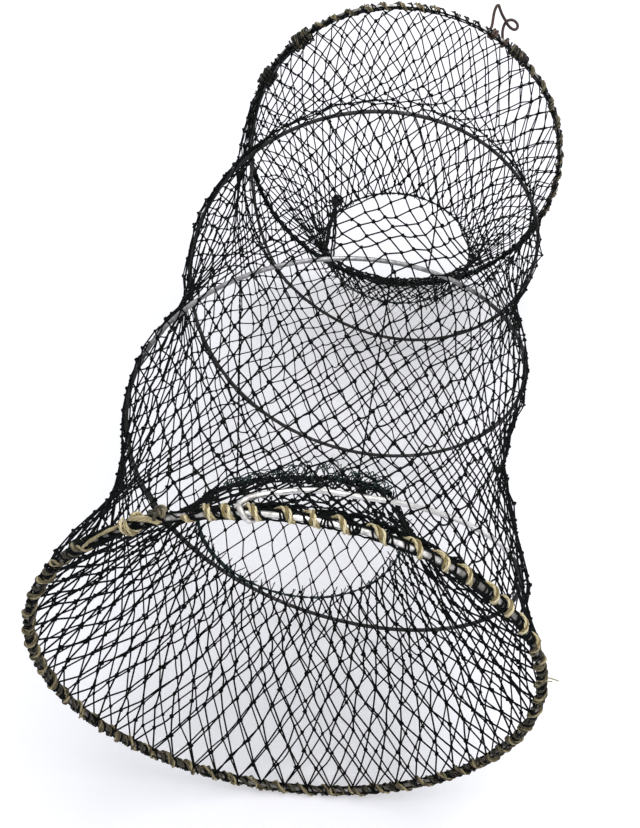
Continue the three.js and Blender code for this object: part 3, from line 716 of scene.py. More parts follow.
def relaxed(place, angle, along, rows):
    """Moves knots over the surface until no bar is longer than its twine."""
    right_of, left_of = neighbours(rows)
    row = np.arange(rows)[:, None]
    for _ in range(ROUNDS):
        knots = place(angle, along)
        shift = np.zeros_like(knots)
        for other in (right_of, left_of):
            gap = knots[row + 1, other] - knots[:-1]
            length = np.linalg.norm(gap, axis=2, keepdims=True)
            pull = PULL_SHARE * gap * np.maximum(1 - BAR / length, 0)
            shift[:-1] += pull
            np.add.at(shift, (row + 1, other), -pull)
        shift[0] = shift[-1] = 0
        turn = np.radians(angle)
        from_middle = knots[..., [0, 2]] - np.stack(middle_at(along), -1)
        radius = np.maximum(np.linalg.norm(from_middle, axis=2), LEAST_RADIUS)
        round_it = shift[..., 0] * np.cos(turn) - shift[..., 2] * np.sin(turn)
        angle = angle + np.degrees(round_it / radius)
        along = along + shift[..., 1]
    return angle, along


# %% Bars from a lattice of knots
# A bar bowed by d over a length L takes 8 d d / 3 L more twine than a straight one.
DROOP, BAR_UNEVENNESS, KNOT_UNEVENNESS, HANG = 0.45, 0.03, 0.8, 0.75
SLACK_TO_BOW = 0.375
bar_thirds = np.array([0, 1 / 3, 2 / 3])
bar_bow = np.array([0, 0.89, 0.89])


def lattice_strands(knots, rows, seed):
    """Routes of the twine through the knots, both ways round, with slack bars bowed."""
    chance = np.random.default_rng(seed)
    row = np.arange(rows + 1)
    centre = knots.mean(axis=1, keepdims=True)
    routes = []
    for lean in (1, -1):
        start = np.arange(MESHES)[:, None]
        index = (start + row // 2) % MESHES if lean == 1 else (start - (row + 1) // 2) % MESHES
        line = knots[row, index]
        outward = line - centre[row, 0]
        outward[..., 1] = 0
        outward /= np.linalg.norm(outward, axis=2, keepdims=True)
        chord = np.diff(line, axis=1)
        length = np.linalg.norm(chord, axis=2, keepdims=True)
        twine = BAR * chance.normal(1.0, BAR_UNEVENNESS, length.shape)
        slack = np.sqrt(SLACK_TO_BOW * length * np.maximum(twine - length, 0))
        down = np.array([0, 0, -1.0]) - chord * (-chord[..., 2:] / length**2)
        sideways = np.cross(outward[:, :-1], chord / length)
        way = chance.normal(0.4 * lean, 0.7, length.shape)
        bow = DROOP * slack * (HANG * down + way * sideways) / np.sqrt(HANG**2 + way**2)
        bars = line[:, :-1, None] + chord[:, :, None] * bar_thirds[:, None]
        bars = bars + bow[:, :, None] * bar_bow[:, None]
        routes.append(np.concatenate([bars.reshape(MESHES, -1, 3), line[:, -1:]], 1))
    return np.concatenate(routes)


def uneven(knots, seed):
    """Knots off their places by chance, but for the first and last row."""
    moved = knots.copy()
    moved[1:-1] += np.random.default_rng(seed).normal(0, KNOT_UNEVENNESS, moved[1:-1].shape)
    return moved


def shades(count, seed, amount=0.12, middle=0.0):
    """A tone for each strand, darker below 0 and lighter above it."""
    return middle + np.random.default_rng(seed).normal(0, amount, count)


# %% [markdown]
# ## One knot
# A netting knot is a twine bent round its neighbour and pulled tight: a lumpy bead almost 3 mm
# across. One small sphere is pinched and flattened in edit mode, and then copied to every
# crossing with its own turn and size. It has few faces because there are thousands. Blender may
# list a new sphere's points in another order in each run, so they are sorted by their places.

# %% Model the knot
KNOT_LUMP = 0.16
bpy.ops.mesh.primitive_uv_sphere_add(segments=6, ring_count=4, radius=1.0, location=(0, 0, 0))
bead = bpy.context.active_object
bpy.ops.object.mode_set(mode="EDIT")
bpy.ops.mesh.select_all(action="SELECT")
bpy.ops.transform.resize(value=(1.15, 1.0, 0.85))
bpy.ops.object.mode_set(mode="OBJECT")
for vertex in bead.data.vertices:
    vertex.co *= 1 + KNOT_LUMP * math.sin(3 * vertex.co.x + 2 * vertex.co.y)
points = np.array([v.co for v in bead.data.vertices])
order = np.lexsort(points.T)
number = np.argsort(order)
bead_points = points[order]
bead_faces = sorted([int(number[v]) for v in face.vertices] for face in bead.data.polygons)
bpy.data.objects.remove(bead)
print("faces of one knot:", len(bead_faces))


# %% Copy the knot to every crossing
def knots_piece(name, places, size, seed):
    """A bead at every place, each turned and sized by chance."""
    chance = np.random.default_rng(seed)
    places = in_metres(places.reshape(-1, 3))
    axes = chance.normal(size=(len(places), 3, 3))
    first = axes[:, 0] / np.linalg.norm(axes[:, 0], axis=1, keepdims=True)
    second = np.cross(first, axes[:, 1])
    second /= np.linalg.norm(second, axis=1, keepdims=True)
    turned = np.stack([first, second, np.cross(first, second)], 1)
    scale = size * MM * chance.normal(1, 0.1, (len(places), 1, 1)) / 2
    points = places[:, None] + scale * np.einsum("vk,nkc->nvc", bead_points, turned)
    offset = len(bead_points) * np.arange(len(places))
    faces = [[v + o for v in face] for o in offset for face in bead_faces]
    corners = sum(len(face) for face in faces)
    shade = np.repeat(chance.normal(0, 0.12, len(places)), len(bead_points))
    return mesh_piece(name, points.reshape(-1, 3), faces, np.zeros((corners, 2)), shade)


# %% [markdown]
# ## The body net
# The tube of netting is laced to both hoops and lies over the coil, drawn in between its turns. Its
# rows of knots lean, because the net was pulled round as the coil was wound in.

# %% Make the body net
BODY_ROWS, ROW_LEAN, BODY_TWINE, BODY_KNOT, FROM_HOOP, TWINE_TONES = 48, 20.0, 0.54, 2.7, 2.5, 0.1
row = np.arange(BODY_ROWS + 1)[:, None]
angle = 360 * (np.arange(MESHES)[None] + 0.5 * (row % 2)) / MESHES
along = FROM_HOOP + (TRAP_LENGTH - 2 * FROM_HOOP) * row / BODY_ROWS + 0 * angle
calm = np.sin(np.pi * along / TRAP_LENGTH)
turn = np.radians(angle)
along = along - ROW_LEAN * np.sin(turn) * calm
along = along + calm * (wander(turn + along / 90, 3.0, 11) + wander(2 * turn - along / 60, 2.0, 12))
angle = angle + calm * (wander(3 * turn + along / 50, 1.3, 13) + wander(along / 35 - turn, 0.9, 14))
surface = lambda a, y: round_middle(a, net_radius(a, y), y)
angle, along = relaxed(surface, angle, along, BODY_ROWS)
body_knots = uneven(surface(angle, along), 15)
body_strands = lattice_strands(body_knots, BODY_ROWS, 16)
body_twine = sweep("body_net_twine", body_strands, BODY_TWINE, 5, shade=shades(2 * MESHES, 17, TWINE_TONES))
settle(body_twine, "front_end", net_twine, ["body_net"], folds=True)
body_beads = knots_piece("body_net_knots", body_knots[1:-1], BODY_KNOT, 18)
settle(body_beads, "front_end", net_twine, ["body_net"], folds=True)

# %% [markdown]
# ## The two funnels
# At each end a cone of the same netting leads in to a throat, where its last meshes are threaded on
# a cord. The meshes are as many as at the hoop, so they close up to narrow slits there.

# %% Routes of the throats and the funnels
FUNNEL_SAG, LIP_MIDDLE, LIP_HALF, LIP_SLACK, CORD_SEAT = 9.0, -8.0, 68.0, 0.68, 0.8
CORD_PAST, NET_PAST = 1.8, 1.5
front_throat = {"hoop": front_hoop, "inward": 1, "x": -8.0, "z": -1.0, "radius": 68.0, "depth": 112.0,
                "lean": 0.12}
back_throat = {"hoop": back_hoop, "inward": -1, "x": 30.0, "z": -5.0, "radius": 62.0, "depth": 140.0,
               "lean": -0.12}


def lip_drop(throat, angle):
    """How far the front throat's lip hangs below its circle, between the points that hold it."""
    chord = np.maximum(np.cos(np.radians(angle - LIP_MIDDLE)) - math.cos(LIP_HALF * DEGREE), 0)
    return LIP_SLACK * throat["radius"] * chord * (throat is front_throat)


def throat_cord_point(throat, angle, out=0.0, on=0.0):
    """Points on the throat's cord: out from its middle, on past it into the trap."""
    turn = np.radians(angle)
    reach = throat["radius"] + CORD_SEAT
    past = throat["inward"] * (throat["depth"] + CORD_PAST + on)
    along = throat["hoop"]["middle"][1] + past + throat["lean"] * reach * np.cos(turn)
    reach = reach + out
    height = throat["z"] + reach * np.cos(turn) - lip_drop(throat, angle)
    return np.stack(np.broadcast_arrays(throat["x"] + reach * np.sin(turn), along, height), -1)


def funnel_point(throat, angle, share, rim_inset):
    """Points on a funnel, from its hoop at share 0 to its throat at share 1."""
    rim = throat["hoop"]["radius"] - rim_inset
    turn = np.radians(angle)
    reach = rim + (throat["radius"] + CORD_SEAT - rim) * share - FUNNEL_SAG * np.sin(np.pi * share)
    x0, y0, z0 = throat["hoop"]["middle"]
    x = x0 + (throat["x"] - x0) * share + reach * np.sin(turn)
    z = z0 + (throat["z"] - z0) * share + reach * np.cos(turn) - lip_drop(throat, angle) * share**3
    lean = throat["lean"] * throat["radius"] * np.cos(turn) * share
    return np.stack([x, y0 + throat["inward"] * (throat["depth"] + NET_PAST) * share + lean, z], -1)


# %% Make the funnels
KNOT_TO_TWINE = 4.7


def funnel_net(name, throat, rows, rim_inset, radius, seed):
    row = np.arange(rows + 1)[:, None]
    angle = 360 * (np.arange(MESHES)[None] + 0.5 * (row % 2)) / MESHES
    share = row / rows + 0 * angle
    calm = np.sin(np.pi * share)
    turn = np.radians(angle)
    share = share + calm * (wander(turn * 2, 0.012, seed) + wander(5 * turn, 0.008, seed + 1))
    angle = angle + calm * wander(3 * turn + 4 * share, 1.6, seed + 2)
    knots = uneven(funnel_point(throat, angle, share, rim_inset), seed + 3)
    strands = lattice_strands(knots, rows, seed + 4)
    twine = sweep(name + "_twine", strands, radius, 5, shade=shades(2 * MESHES, seed, TWINE_TONES))
    beads = knots_piece(name + "_knots", knots[1:-1], KNOT_TO_TWINE * radius, seed + 5)
    for piece in (twine, beads):
        settle(piece, throat["hoop"]["body"], net_twine, [name + "_net"], folds=True)


funnel_net("front_funnel", front_throat, rows=11, rim_inset=3.2, radius=0.62, seed=30)
funnel_net("back_funnel", back_throat, rows=13, rim_inset=5.0, radius=0.54, seed=40)

# %% [markdown]
# ## Twine wound round a hoop
# The lashing is twisted bundles of several twines that spiral round the hoop and the net's edge.
# A table says how many turns have been made by each angle, so that the bundles lie where they do
# in the photograph: far apart over the top, packed like rope down the sides. A bundle is pulled
# tight over the front of the wire, so it crosses there steeply and moves on behind it.

# %% Routes of a wrapping
WIRE_CLEAR, FLOOR_CLEAR, LAY_FLATNESS = 2.35, 0.7, 0.55


def above_floor(routes, least=FLOOR_CLEAR):
    """Twine under the trap is pressed flat on the floor, so no route goes below it."""
    floor_height = -front_middle[2] / MM + least
    routes = np.array(routes, float)
    routes[..., 2] = np.maximum(routes[..., 2], floor_height)
    return routes


def off_the_wire(out, along):
    """Moves what would lie inside the hoop's wire out to its surface."""
    clear = np.maximum(1, WIRE_CLEAR / np.hypot(out, along))
    return out * clear, along * clear


def wrapping(hoop, angles, turns, strands, spacing, reach, centre, seed, loose, steps, slow=0.0, lay=0.0):
    """Strands that wind round a hoop. reach and centre are (out, along); lay twists the bundle."""
    t = np.arange(turns[0], turns[-1] + 1e-6, 1 / steps)
    angle = np.interp(t - slow * np.sin(2 * np.pi * t - np.pi / 4) / (2 * np.pi), turns, angles)
    routes = []
    for n in range(strands):
        beside, lift = (n - (strands - 1) / 2) * spacing, 0
        if lay:
            turned = 2 * np.pi * (n / strands + lay * t)
            beside, lift = spacing * np.cos(turned), LAY_FLATNESS * spacing * np.sin(turned)
        swell = 1 + wander(t * 2.3 + n, loose, seed + n)
        slip = wander(t * 1.7 + n, loose * 4, seed + 20 + n)
        phase = 2 * np.pi * t + wander(t * 1.3, loose * 2, seed + 40 + n)
        out = centre[0] + (reach[0] * swell + lift) * np.cos(phase)
        along = centre[1] - (reach[1] * swell + lift) * np.sin(phase)
        at = angle + beside / (hoop["radius"] * DEGREE) + slip
        routes.append(beside_hoop(hoop, at, *off_the_wire(out, along)))
    return above_floor(np.stack(routes))


def evenly(start, end, pitch, hoop):
    """Angles and turns of a wrapping of one pitch, in millimetres along the hoop."""
    turns = abs(end - start) * DEGREE * hoop["radius"] / pitch
    return np.array([start, end]), np.array([0.0, turns])


# %% Front lashing
FIRST_TURN = 0.13
bundle_angles = np.array([346.7, 351.4, 354.9, 360.2, 366.5, 371, 376.5, 384, 392, 398, 404, 412, 417,
                          424, 431])
bundle_turns = np.arange(len(bundle_angles)) + FIRST_TURN
bundles = wrapping(front_hoop, bundle_angles, bundle_turns, 4, 1.25, (2.95, 3.3), (0.3, 0.6), 100, 0.08, 20,
                   slow=0.5, lay=1.0)
piece = sweep("front_straw_bundles", bundles, 0.8, 7, shade=np.array([0.5, -0.5, 0.25, -0.2]))
settle(piece, "front_end", straw, ["front_short_lashing", "front_lashing"])
side_angles = np.array([431, 445, 470, 500, 560, 600, 630, 645, 668, 683])
side_pitch = np.array([16, 19, 14, 17.5, 15, 18, 14.5, 19, 20])
side_turns = np.concatenate([[0], np.cumsum(np.diff(side_angles) * DEGREE * FRONT_RADIUS / side_pitch)])
for name, start, material, slot, strands, spacing, reach, radius, seed, tones in (
        ("front_pale_lashing", 0.0, olive, "straw_twine", 4, 1.25, (2.75, 3.0), 0.7, 110,
         (0.55, -0.5, 0.1, -0.3)),
        ("front_olive_lashing", 0.5, khaki, "khaki_twine", 3, 0.95, (2.4, 2.5), 0.57, 115,
         (-0.15, -0.6, -0.4))):
    rope = wrapping(front_hoop, side_angles, side_turns + start, strands, spacing, reach, (0.1, 0.3), seed,
                    0.24, 20, slow=0.3, lay=1.3)
    piece = sweep(name, rope, radius, 6, shade=np.array(tones))
    settle(piece, "front_end", material, ["front_lashing"])

# %% [markdown]
# ## The net's edges
# The netting's last meshes go round the hoop together with a black selvedge cord, so between the
# straw bundles the hoop carries black loops. Two hitches at each of the fifty-eight meshes, four
# slack cords that run along the hoop and a spiral of black turns give that edge.

# %% Selvedges and hitches
def selvedge(name, hoop, seed, spread, lines):
    """Slack cords along a hoop. Each line is its place beside the wire, (out, along)."""
    angle = np.arange(0, 360, 0.75)
    turn = angle * DEGREE
    slack = spread(angle)
    cords = []
    for n, (out, along) in enumerate(lines):
        out = out + slack * wander(np.sin(turn + n) * 14 + 9 * turn, 0.6, seed + n, 8)
        along = along + slack * wander(np.cos(turn - n) * 15 + 8 * turn, 0.7, seed + 10 + n, 8)
        cords.append(beside_hoop(hoop, angle, *off_the_wire(out, along)))
    piece = sweep(name, above_floor(np.stack(cords)), 0.55, 6, closed=True)
    settle(piece, hoop["body"], net_twine)


def hitches(name, hoop, seed, side, reach, centre):
    """Small hitches of net twine at each mesh, one and a half times round the hoop."""
    chance = np.random.default_rng(seed)
    t = np.arange(0, 1.6, 1 / 14)
    routes = []
    for n in range(MESHES):
        for start, pitch in ((0, 1.5), (chance.uniform(1.5, 5), -1.3)):
            angle = 360 * n / MESHES + (start + pitch * t) / (hoop["radius"] * DEGREE)
            swell = chance.normal(1, 0.1)
            phase = 2 * np.pi * t + chance.uniform(0, FULL_TURN)
            routes.append(beside_hoop(hoop, angle, centre[0] + reach[0] * swell * np.cos(phase),
                                      side * (centre[1] + reach[1] * swell * np.sin(phase))))
    piece = sweep(name, above_floor(np.stack(routes)), 0.48, 5, shade=shades(2 * MESHES, seed))
    settle(piece, hoop["body"], net_twine)


# %% The front hoop's edge
selvedge("front_selvedge", front_hoop, 120, lambda a: 0.8 + 0.8 * near(a, 15, 40),
         ((2.0, 1.2), (-1.4, 2.1), (-1.1, -2.1), (0.3, 2.6)))
hitches("front_hitches", front_hoop, 130, 1, reach=(2.4, 2.6), centre=(0.0, 0.2))
for name, span, pitch in (
        ("front_black_turns", (386, 704), 7.5),
        ("front_top_black_turns", (347, 386), 11.5)):
    turns = wrapping(front_hoop, *evenly(*span, pitch, front_hoop), 2, 1.5, (2.4, 2.65), (0.1, 0.3), 135,
                     0.14, 16, slow=0.2)
    piece = sweep(name, turns, 0.55, 5, shade=shades(2, 136))
    settle(piece, "front_end", net_twine)

# %% [markdown]
# ## Netting bunched along a wire
# Where the net was laced on, spare netting lies bunched: behind the top of the front hoop, along
# the bottom of the back hoop, along the left of each turn of the coil and on the throat's
# upper lip. Each bunch is a loose rope of net twine that wanders and curls round a line.

# %% A bunch along a line
def bunch(routes_of, angles, strands, spread, seed, curl=9):
    """Strands that wander round a line. spread gives their reach at each angle."""
    chance = np.random.default_rng(seed)
    t = angles * DEGREE
    routes = []
    for n in range(strands):
        start, twist = chance.uniform(0, FULL_TURN), chance.normal(0, curl)
        reach = spread(angles) * chance.uniform(0.35, 1.0)
        phase = start + twist * t + wander(22 * t, 0.9, seed + 3 * n, 7)
        swell = 1 + wander(30 * t, 0.3, seed + 3 * n + 1, 7)
        routes.append(routes_of(angles, reach * swell * np.cos(phase), reach * swell * np.sin(phase)))
    return above_floor(np.stack(routes), 0.5)


def hoop_line(hoop, out, along):
    """A line beside a hoop, for a bunch to wander round."""
    return lambda a, more_out, more_along: beside_hoop(hoop, a, out + more_out, along + more_along)


# %% Bunches on the hoops
for name, hoop, place, span, strands, spread, curl, tint, seed in (
        ("front_top_gather", front_hoop, (-1.6, 5.5), (0, 60, 0.4), 9,
         lambda a: 1.4 + 3.4 * near(a, 24, 18), 42, net_twine, 300),
        ("front_top_gather_low", front_hoop, (-2.0, 3.0), (-8, 62, 0.6), 5,
         lambda a: 1.2 + 1.2 * near(a, 28, 25), 20, net_twine, 320),
        ("front_left_gather", front_hoop, (0.3, 0.8), (284, 357, 0.6), 9,
         lambda a: 2.6 + 0.9 * near(a, 322, 22), 18, net_twine, 340),
        ("back_bunched_net", back_hoop, (-1.0, -2.5), (130, 262, 0.5), 5,
         lambda a: 1.0 + 3.6 * near(a, 180, 28), 46, net_twine, 360),
        ("back_teal_bunch", back_hoop, (-1.5, -3.0), (142, 222, 0.5), 3,
         lambda a: 1.2 + 5.0 * near(a, 172, 26), 50, teal_cord, 390)):
    routes = bunch(hoop_line(hoop, *place), np.arange(*span), strands, spread, seed, curl)
    piece = sweep(name, routes, 0.5, 5, shade=shades(strands, seed + 1))
    settle(piece, hoop["body"], tint)

# %% Lacing along the left of each turn
LACING_OUT, LACING_ALONG, LACING_THIN, LACING_THICKER = 1.2, 0.6, 0.9, 1.3


def coil_line(angle, out, along):
    """A line just outside the coil, for a lacing to wander round."""
    radius = SPRING_RADIUS + (LACING_OUT + out)
    return round_middle(angle, radius, spring_along(angle) + (LACING_ALONG + along))


for number, (start, end, strands) in enumerate(((205, 325, 5), (560, 690, 5), (925, 1005, 5)), 1):
    middle, half = (start + end) / 2, (end - start) / 2
    spread = lambda a: LACING_THIN + LACING_THICKER * np.clip(1 - ((a - middle) / half) ** 2, 0, 1)
    lacing = bunch(coil_line, np.arange(start, end, 0.9), strands, spread, 350 + 30 * number)
    piece = sweep(f"spring_lacing_{number}", lacing, 0.48, 5, shade=shades(strands, 340 + number))
    settle(piece, "front_end", net_twine, folds=True)

# %% [markdown]
# ## The knots at the front
# Left of the hook the straw twine ends in a fat wrap and a flat splay of loose strands, and a darker
# knot of olive twine sits beside it. A real overhand knot has the route of a trefoil, so the
# knots are trefoils of twine pulled small, with short cut ends.

# %% Routes of knots and loose ends
KNOT_FLATNESS, TAIL_DROOP = 2.2, 0.16


def trefoil(size, depth):
    """An overhand knot's route, as three arrays: across, on and through."""
    t = np.linspace(0, 2 * np.pi, 60, endpoint=False)
    across = size * (np.sin(t) + 2 * np.sin(2 * t)) / 3
    on = size * (np.cos(t) - 2 * np.cos(2 * t)) / 3
    return across, on, -size * depth * np.sin(3 * t)


def hoop_knot(angle, out, along, size, depth, turned=0.0):
    """A knot that lies on the front hoop, turned on its surface."""
    a, b, c = trefoil(size, depth)
    a, b = a * math.cos(turned) - b * math.sin(turned), a * math.sin(turned) + b * math.cos(turned)
    return beside_hoop(front_hoop, angle + a / (FRONT_RADIUS * DEGREE), out + c / KNOT_FLATNESS, along + b)


def short_tail(angle, out, along, way, length):
    """A cut end under 30 mm long that bends away from its knot on the front hoop."""
    t = np.linspace(0, 1, 10)
    across, outward, back = way
    return beside_hoop(front_hoop, angle + across * length * t / (FRONT_RADIUS * DEGREE),
                       out + outward * length * t - TAIL_DROOP * length * t * t, along + back * length * t)


def laid_strands(angles, start, end, count, apart, bulge, seed):
    """Strands that lie along the front hoop, from one (out, along) beside it to another."""
    t = np.linspace(0, 1, 24)
    angle = angles[0] + (angles[1] - angles[0]) * t
    routes = []
    for n in range(count):
        beside = (n - (count - 1) / 2) * apart
        out = start[0] + (end[0] - start[0]) * t + bulge * np.sin(np.pi * t) + 0.6 * beside
        along = start[1] + (end[1] - start[1]) * t - beside
        out, along = out + wander(5 * t, 0.3, seed + n), along + wander(4 * t, 0.3, seed + 9 + n)
        routes.append(beside_hoop(front_hoop, angle, out, along))
    return np.stack(routes)


# %% Knots on the front hoop
fat_wrap = wrapping(front_hoop, *evenly(333.6, 336.4, 7.4, front_hoop), 6, 1.9, (3.9, 4.3), (0.4, 0.6), 142,
                    0.06, 24, lay=1.2)
piece = sweep("front_straw_knot", fat_wrap, 0.72, 7, shade=shades(6, 140, 0.2, 0.1))
settle(piece, "front_end", straw, ["front_lashing_knot"])
splay = np.concatenate([
    laid_strands((335.5, 342.0), (4.2, 1.2), (1.6, -3.6), 5, 1.15, 0.9, 150),
    laid_strands((323.5, 332.5), (1.6, -3.2), (3.6, -1.8), 5, 1.1, 0.8, 170)])
piece = sweep("front_straw_splay", splay, 0.62, 6, shade=shades(10, 141, 0.2))
settle(piece, "front_end", straw, ["front_lashing_knot"])
dark_knots = np.stack([
    hoop_knot(341.2, 4.6, 0.4, 3.6, 0.9),
    hoop_knot(342.0, 4.0, 1.2, 3.2, 0.8, turned=0.8)])
piece = sweep("front_dark_knot", dark_knots, 0.85, 7, closed=True, shade=np.array([-0.35, 0.3]))
settle(piece, "front_end", khaki, ["front_lashing_knot"])
ends = np.stack([
    short_tail(83.5, 3.0, -1.0, (0.1, 0.9, -0.2), 9),
    short_tail(86.0, 2.6, 0.5, (0.5, 0.7, 0.3), 6),
    short_tail(333.0, 4.5, -2.0, (-0.6, 0.4, -0.6), 7)])
piece = sweep("front_cut_ends", ends, 0.42, 6)
settle(piece, "front_end", straw)

# %% [markdown]
# ## Back hoop bindings
# The back hoop is wound with black cord and khaki twine in open turns that let the wire show, with
# two hard splices that hold the end of the spring and a cluster of turns beside the latch.

# %% Back lashing
THICK_REACH, THIN_REACH = (2.7, 2.95), (2.35, 2.6)
for name, span, pitch, strands, reach, material, slot, node, seed, tones in (
        ("back_black_lashing", (60, 318), 11.0, 2, THIN_REACH, black_cord, "black_cord", "back_lashing", 200,
         (0, 0.2)),
        ("back_thin_lashing", (10, 60), 10.5, 2, (2.35, 2.45), black_cord, "black_cord", "back_lashing", 203,
         (0, 0.2)),
        ("back_brown_lashing", (50, 122), 19.0, 5, THICK_REACH, khaki, "khaki_twine", "back_lashing", 205,
         (0.5, -0.1, 0.3, 0.0, 0.4)),
        ("back_khaki_lashing", (325, 373), 15.0, 4, THICK_REACH, olive, "khaki_twine", "back_top_lashing",
         210, (0.35, -0.2, 0.1, 0.0)),
        ("back_top_cord", (325, 373), 11.0, 2, THIN_REACH, black_cord, "black_cord", "back_top_lashing", 214,
         (0, 0.1))):
    turns = wrapping(back_hoop, *evenly(*span, pitch, back_hoop), strands, 1.0 + 0.08 * (pitch - 9), reach,
                     (0.1, -0.3), seed, 0.16, 18, slow=0.3, lay=1.2)
    piece = sweep(name, turns, 0.58, 6, shade=np.array(tones, float))
    settle(piece, "back_end", material, [node])
selvedge("back_selvedge", back_hoop, 220, lambda a: 1 + 0.9 * near(a, 160, 40), ((-1.8, -2.2), (0.2, -2.8)))
hitches("back_hitches", back_hoop, 230, -1, reach=(2.35, 2.45), centre=(0.0, 0.1))

# %% Splices and latch binding
for number, middle, half, tones in ((1, -56.5, 3.0, (-0.55, -0.35)), (2, -37.0, 3.6, (-0.2, 0.0))):
    angles, turns = evenly(middle - half, middle + half, 1.9, back_hoop)
    tight = wrapping(back_hoop, angles, turns, 1, 1.5, (5.6, 4.2), (-1.8, 0.0), 240 + number, 0.16, 18)
    crossed = wrapping(back_hoop, angles[::-1], turns / 2.6, 2, 1.2, (6.2, 4.8), (-1.8, 0.0), 250 + number,
                       0.2, 18)
    piece = sweep(f"splice_{number}_cord", tight, 0.85, 7)
    settle(piece, "back_end", black_cord, [f"splice_whipping_{number}"])
    piece = sweep(f"splice_{number}_twine", crossed, 0.62, 6, shade=np.array(tones))
    settle(piece, "back_end", khaki, [f"splice_whipping_{number}"])
for name, span, pitch, reach, material, slot, seed in (
        ("latch_binding", (41.0, 47.0), 3.2, (4.0, 4.3), khaki, "khaki_twine", 260),
        ("latch_black_binding", (40.0, 48.5), 4.6, (4.3, 4.6), black_cord, "black_cord", 265)):
    turns = wrapping(back_hoop, *evenly(*span, pitch, back_hoop), 2, 1.3, reach, (0.1, -0.2), seed, 0.15, 18)
    piece = sweep(name, turns, 0.72, 6, shade=np.array([0.0, -0.35]))
    settle(piece, "back_end", material, ["latch_whipping"])

# %% [markdown]
# ## The throats
# Each throat is a cord threaded through the funnel's last meshes. The meshes were cut off past it, so
# short stubs stand up round the edge. Spare netting lies gathered on the front throat's upper
# lip. Two ties hold each throat up to the coil. The back throat has a fat teal knot at its upper left,
# with two strings that run down to its lower edge.

# %% Throat cords
LOOP_REACH = 1.35


def throat_piece(name, throat, seed, outward):
    """A throat's laid cord, the loops of the last meshes on it, and their cut ends past it."""
    angle = np.arange(0, 360, 2.5)
    body = throat["hoop"]["body"]
    cords = []
    for phase in (0, np.pi):
        wind = 70 * (angle * DEGREE) / 3 + phase
        cords.append(throat_cord_point(throat, angle, 0.5 * np.cos(wind), 0.5 * np.sin(wind)))
    piece = sweep(name + "_laid_cord", np.stack(cords), 0.5, 5, closed=True)
    settle(piece, body, teal_cord, [name + "_cord"], folds=True)
    chance = np.random.default_rng(seed)
    t = np.arange(0, 1.25, 1 / 10)
    s = np.linspace(0, 1, 6)
    loops, stubs = [], []
    for n in range(MESHES):
        at = 360 * (n + 0.5) / MESHES
        reach = LOOP_REACH * chance.normal(1, 0.12)
        loops.append(throat_cord_point(throat, at + 1.2 * t, reach * np.cos(2 * np.pi * t),
                                       reach * np.sin(2 * np.pi * t)))
        for _ in range(2):
            length, lean, tip = chance.uniform(3.0, 9.0), chance.normal(0, 2.0), chance.normal(outward, 0.35)
            stubs.append(throat_cord_point(throat, at + lean * s, tip * length * s, length * s))
    piece = sweep(name + "_loops", np.stack(loops), 0.42, 5, shade=shades(MESHES, seed))
    settle(piece, body, net_twine, folds=True)
    piece = sweep(name + "_stubs", np.stack(stubs), 0.36, 5, shade=shades(2 * MESHES, seed + 1, 0.2))
    settle(piece, body, net_twine, folds=True)


throat_piece("front_throat", front_throat, 400, outward=-0.3)
throat_piece("back_throat", back_throat, 420, outward=0.7)


# %% The front throat's gathered lip
def throat_line(throat, side, past):
    """A line along a throat's cord, for a bunch to wander round."""
    return lambda a, out, on: throat_cord_point(throat, a, side + out, past + on)


for name, span, strands, side, spread, tint, seed in (
        ("front_lip_gather", (-62, 62, 0.8), 5, 0.6,
         lambda a: 1.5 + 2.6 * near(a, 12, 34), net_twine, 450),
        ("front_lip_teal", (-40, 56, 0.8), 6, 4.2,
         lambda a: 2.2 + 8.5 * near(a, 18, 30), teal_cord, 480),
        ("front_frayed_cord", (214, 284, 1.4), 4, 0.8,
         lambda a: 0.7 + 1.0 * near(a, 214, 14), teal_cord, 500)):
    routes = bunch(throat_line(front_throat, side, -1.0), np.arange(*span), strands, spread, seed, 16)
    piece = sweep(name, routes, 0.42, 5, shade=shades(strands, seed + 1, 0.2))
    settle(piece, "front_end", tint, folds=True)

# %% The back throat's knot and strings
knot_place = throat_cord_point(back_throat, -42.0, 9.0, 2.0)
knot = []
for size, tilt in ((5.6, 0.3), (4.8, 1.5), (4.0, 2.6)):
    a, b, c = trefoil(size, 0.35)
    a, c = a * math.cos(tilt) - c * math.sin(tilt), a * math.sin(tilt) + c * math.cos(tilt)
    knot.append(knot_place + np.stack([a, b, c], -1))
piece = sweep("back_throat_knot", np.stack(knot), 1.2, 6, closed=True, shade=np.array([0.0, -0.3, -0.1]))
settle(piece, "back_end", black_cord, ["back_throat_cord"], folds=True)
t = np.linspace(0, 1, 30)
still = 0 * t
strings = []
for end_angle, shift in ((-94, -1.2), (-98, -0.4), (-108, 0.5), (-112, 1.3)):
    end = throat_cord_point(back_throat, end_angle)
    string = knot_place + (end - knot_place) * t[:, None] + np.outer(np.sin(np.pi * t), [shift, 0.0, 0.0])
    strings.append(string + np.stack([0.3 * np.cos(40 * t + end_angle), still, 0.3 * np.sin(40 * t)], -1))
piece = sweep("back_throat_strings", np.stack(strings), 0.9, 6, shade=shades(4, 520, 0.15))
settle(piece, "back_end", black_cord, folds=True)

# %% Frayed threads that hang at the back hoop's foot
hanging = []
for start_angle, end_angle in ((163.5, 162.0), (165.0, 164.0), (166.2, 165.5), (167.4, 166.0)):
    start = beside_hoop(back_hoop, start_angle, -1.0, -3.0)
    end = beside_hoop(back_hoop, end_angle, -5.5, -41.0)
    sway = np.stack([wander(5 * t, 0.7, int(10 * end_angle)), still, still], -1)
    hanging.append(start + (end - start) * t[:, None] + sway)
piece = sweep("back_hanging_threads", above_floor(np.stack(hanging), 0.6), 0.4, 5, shade=shades(4, 530, 0.15))
settle(piece, "back_end", teal_cord, folds=True)

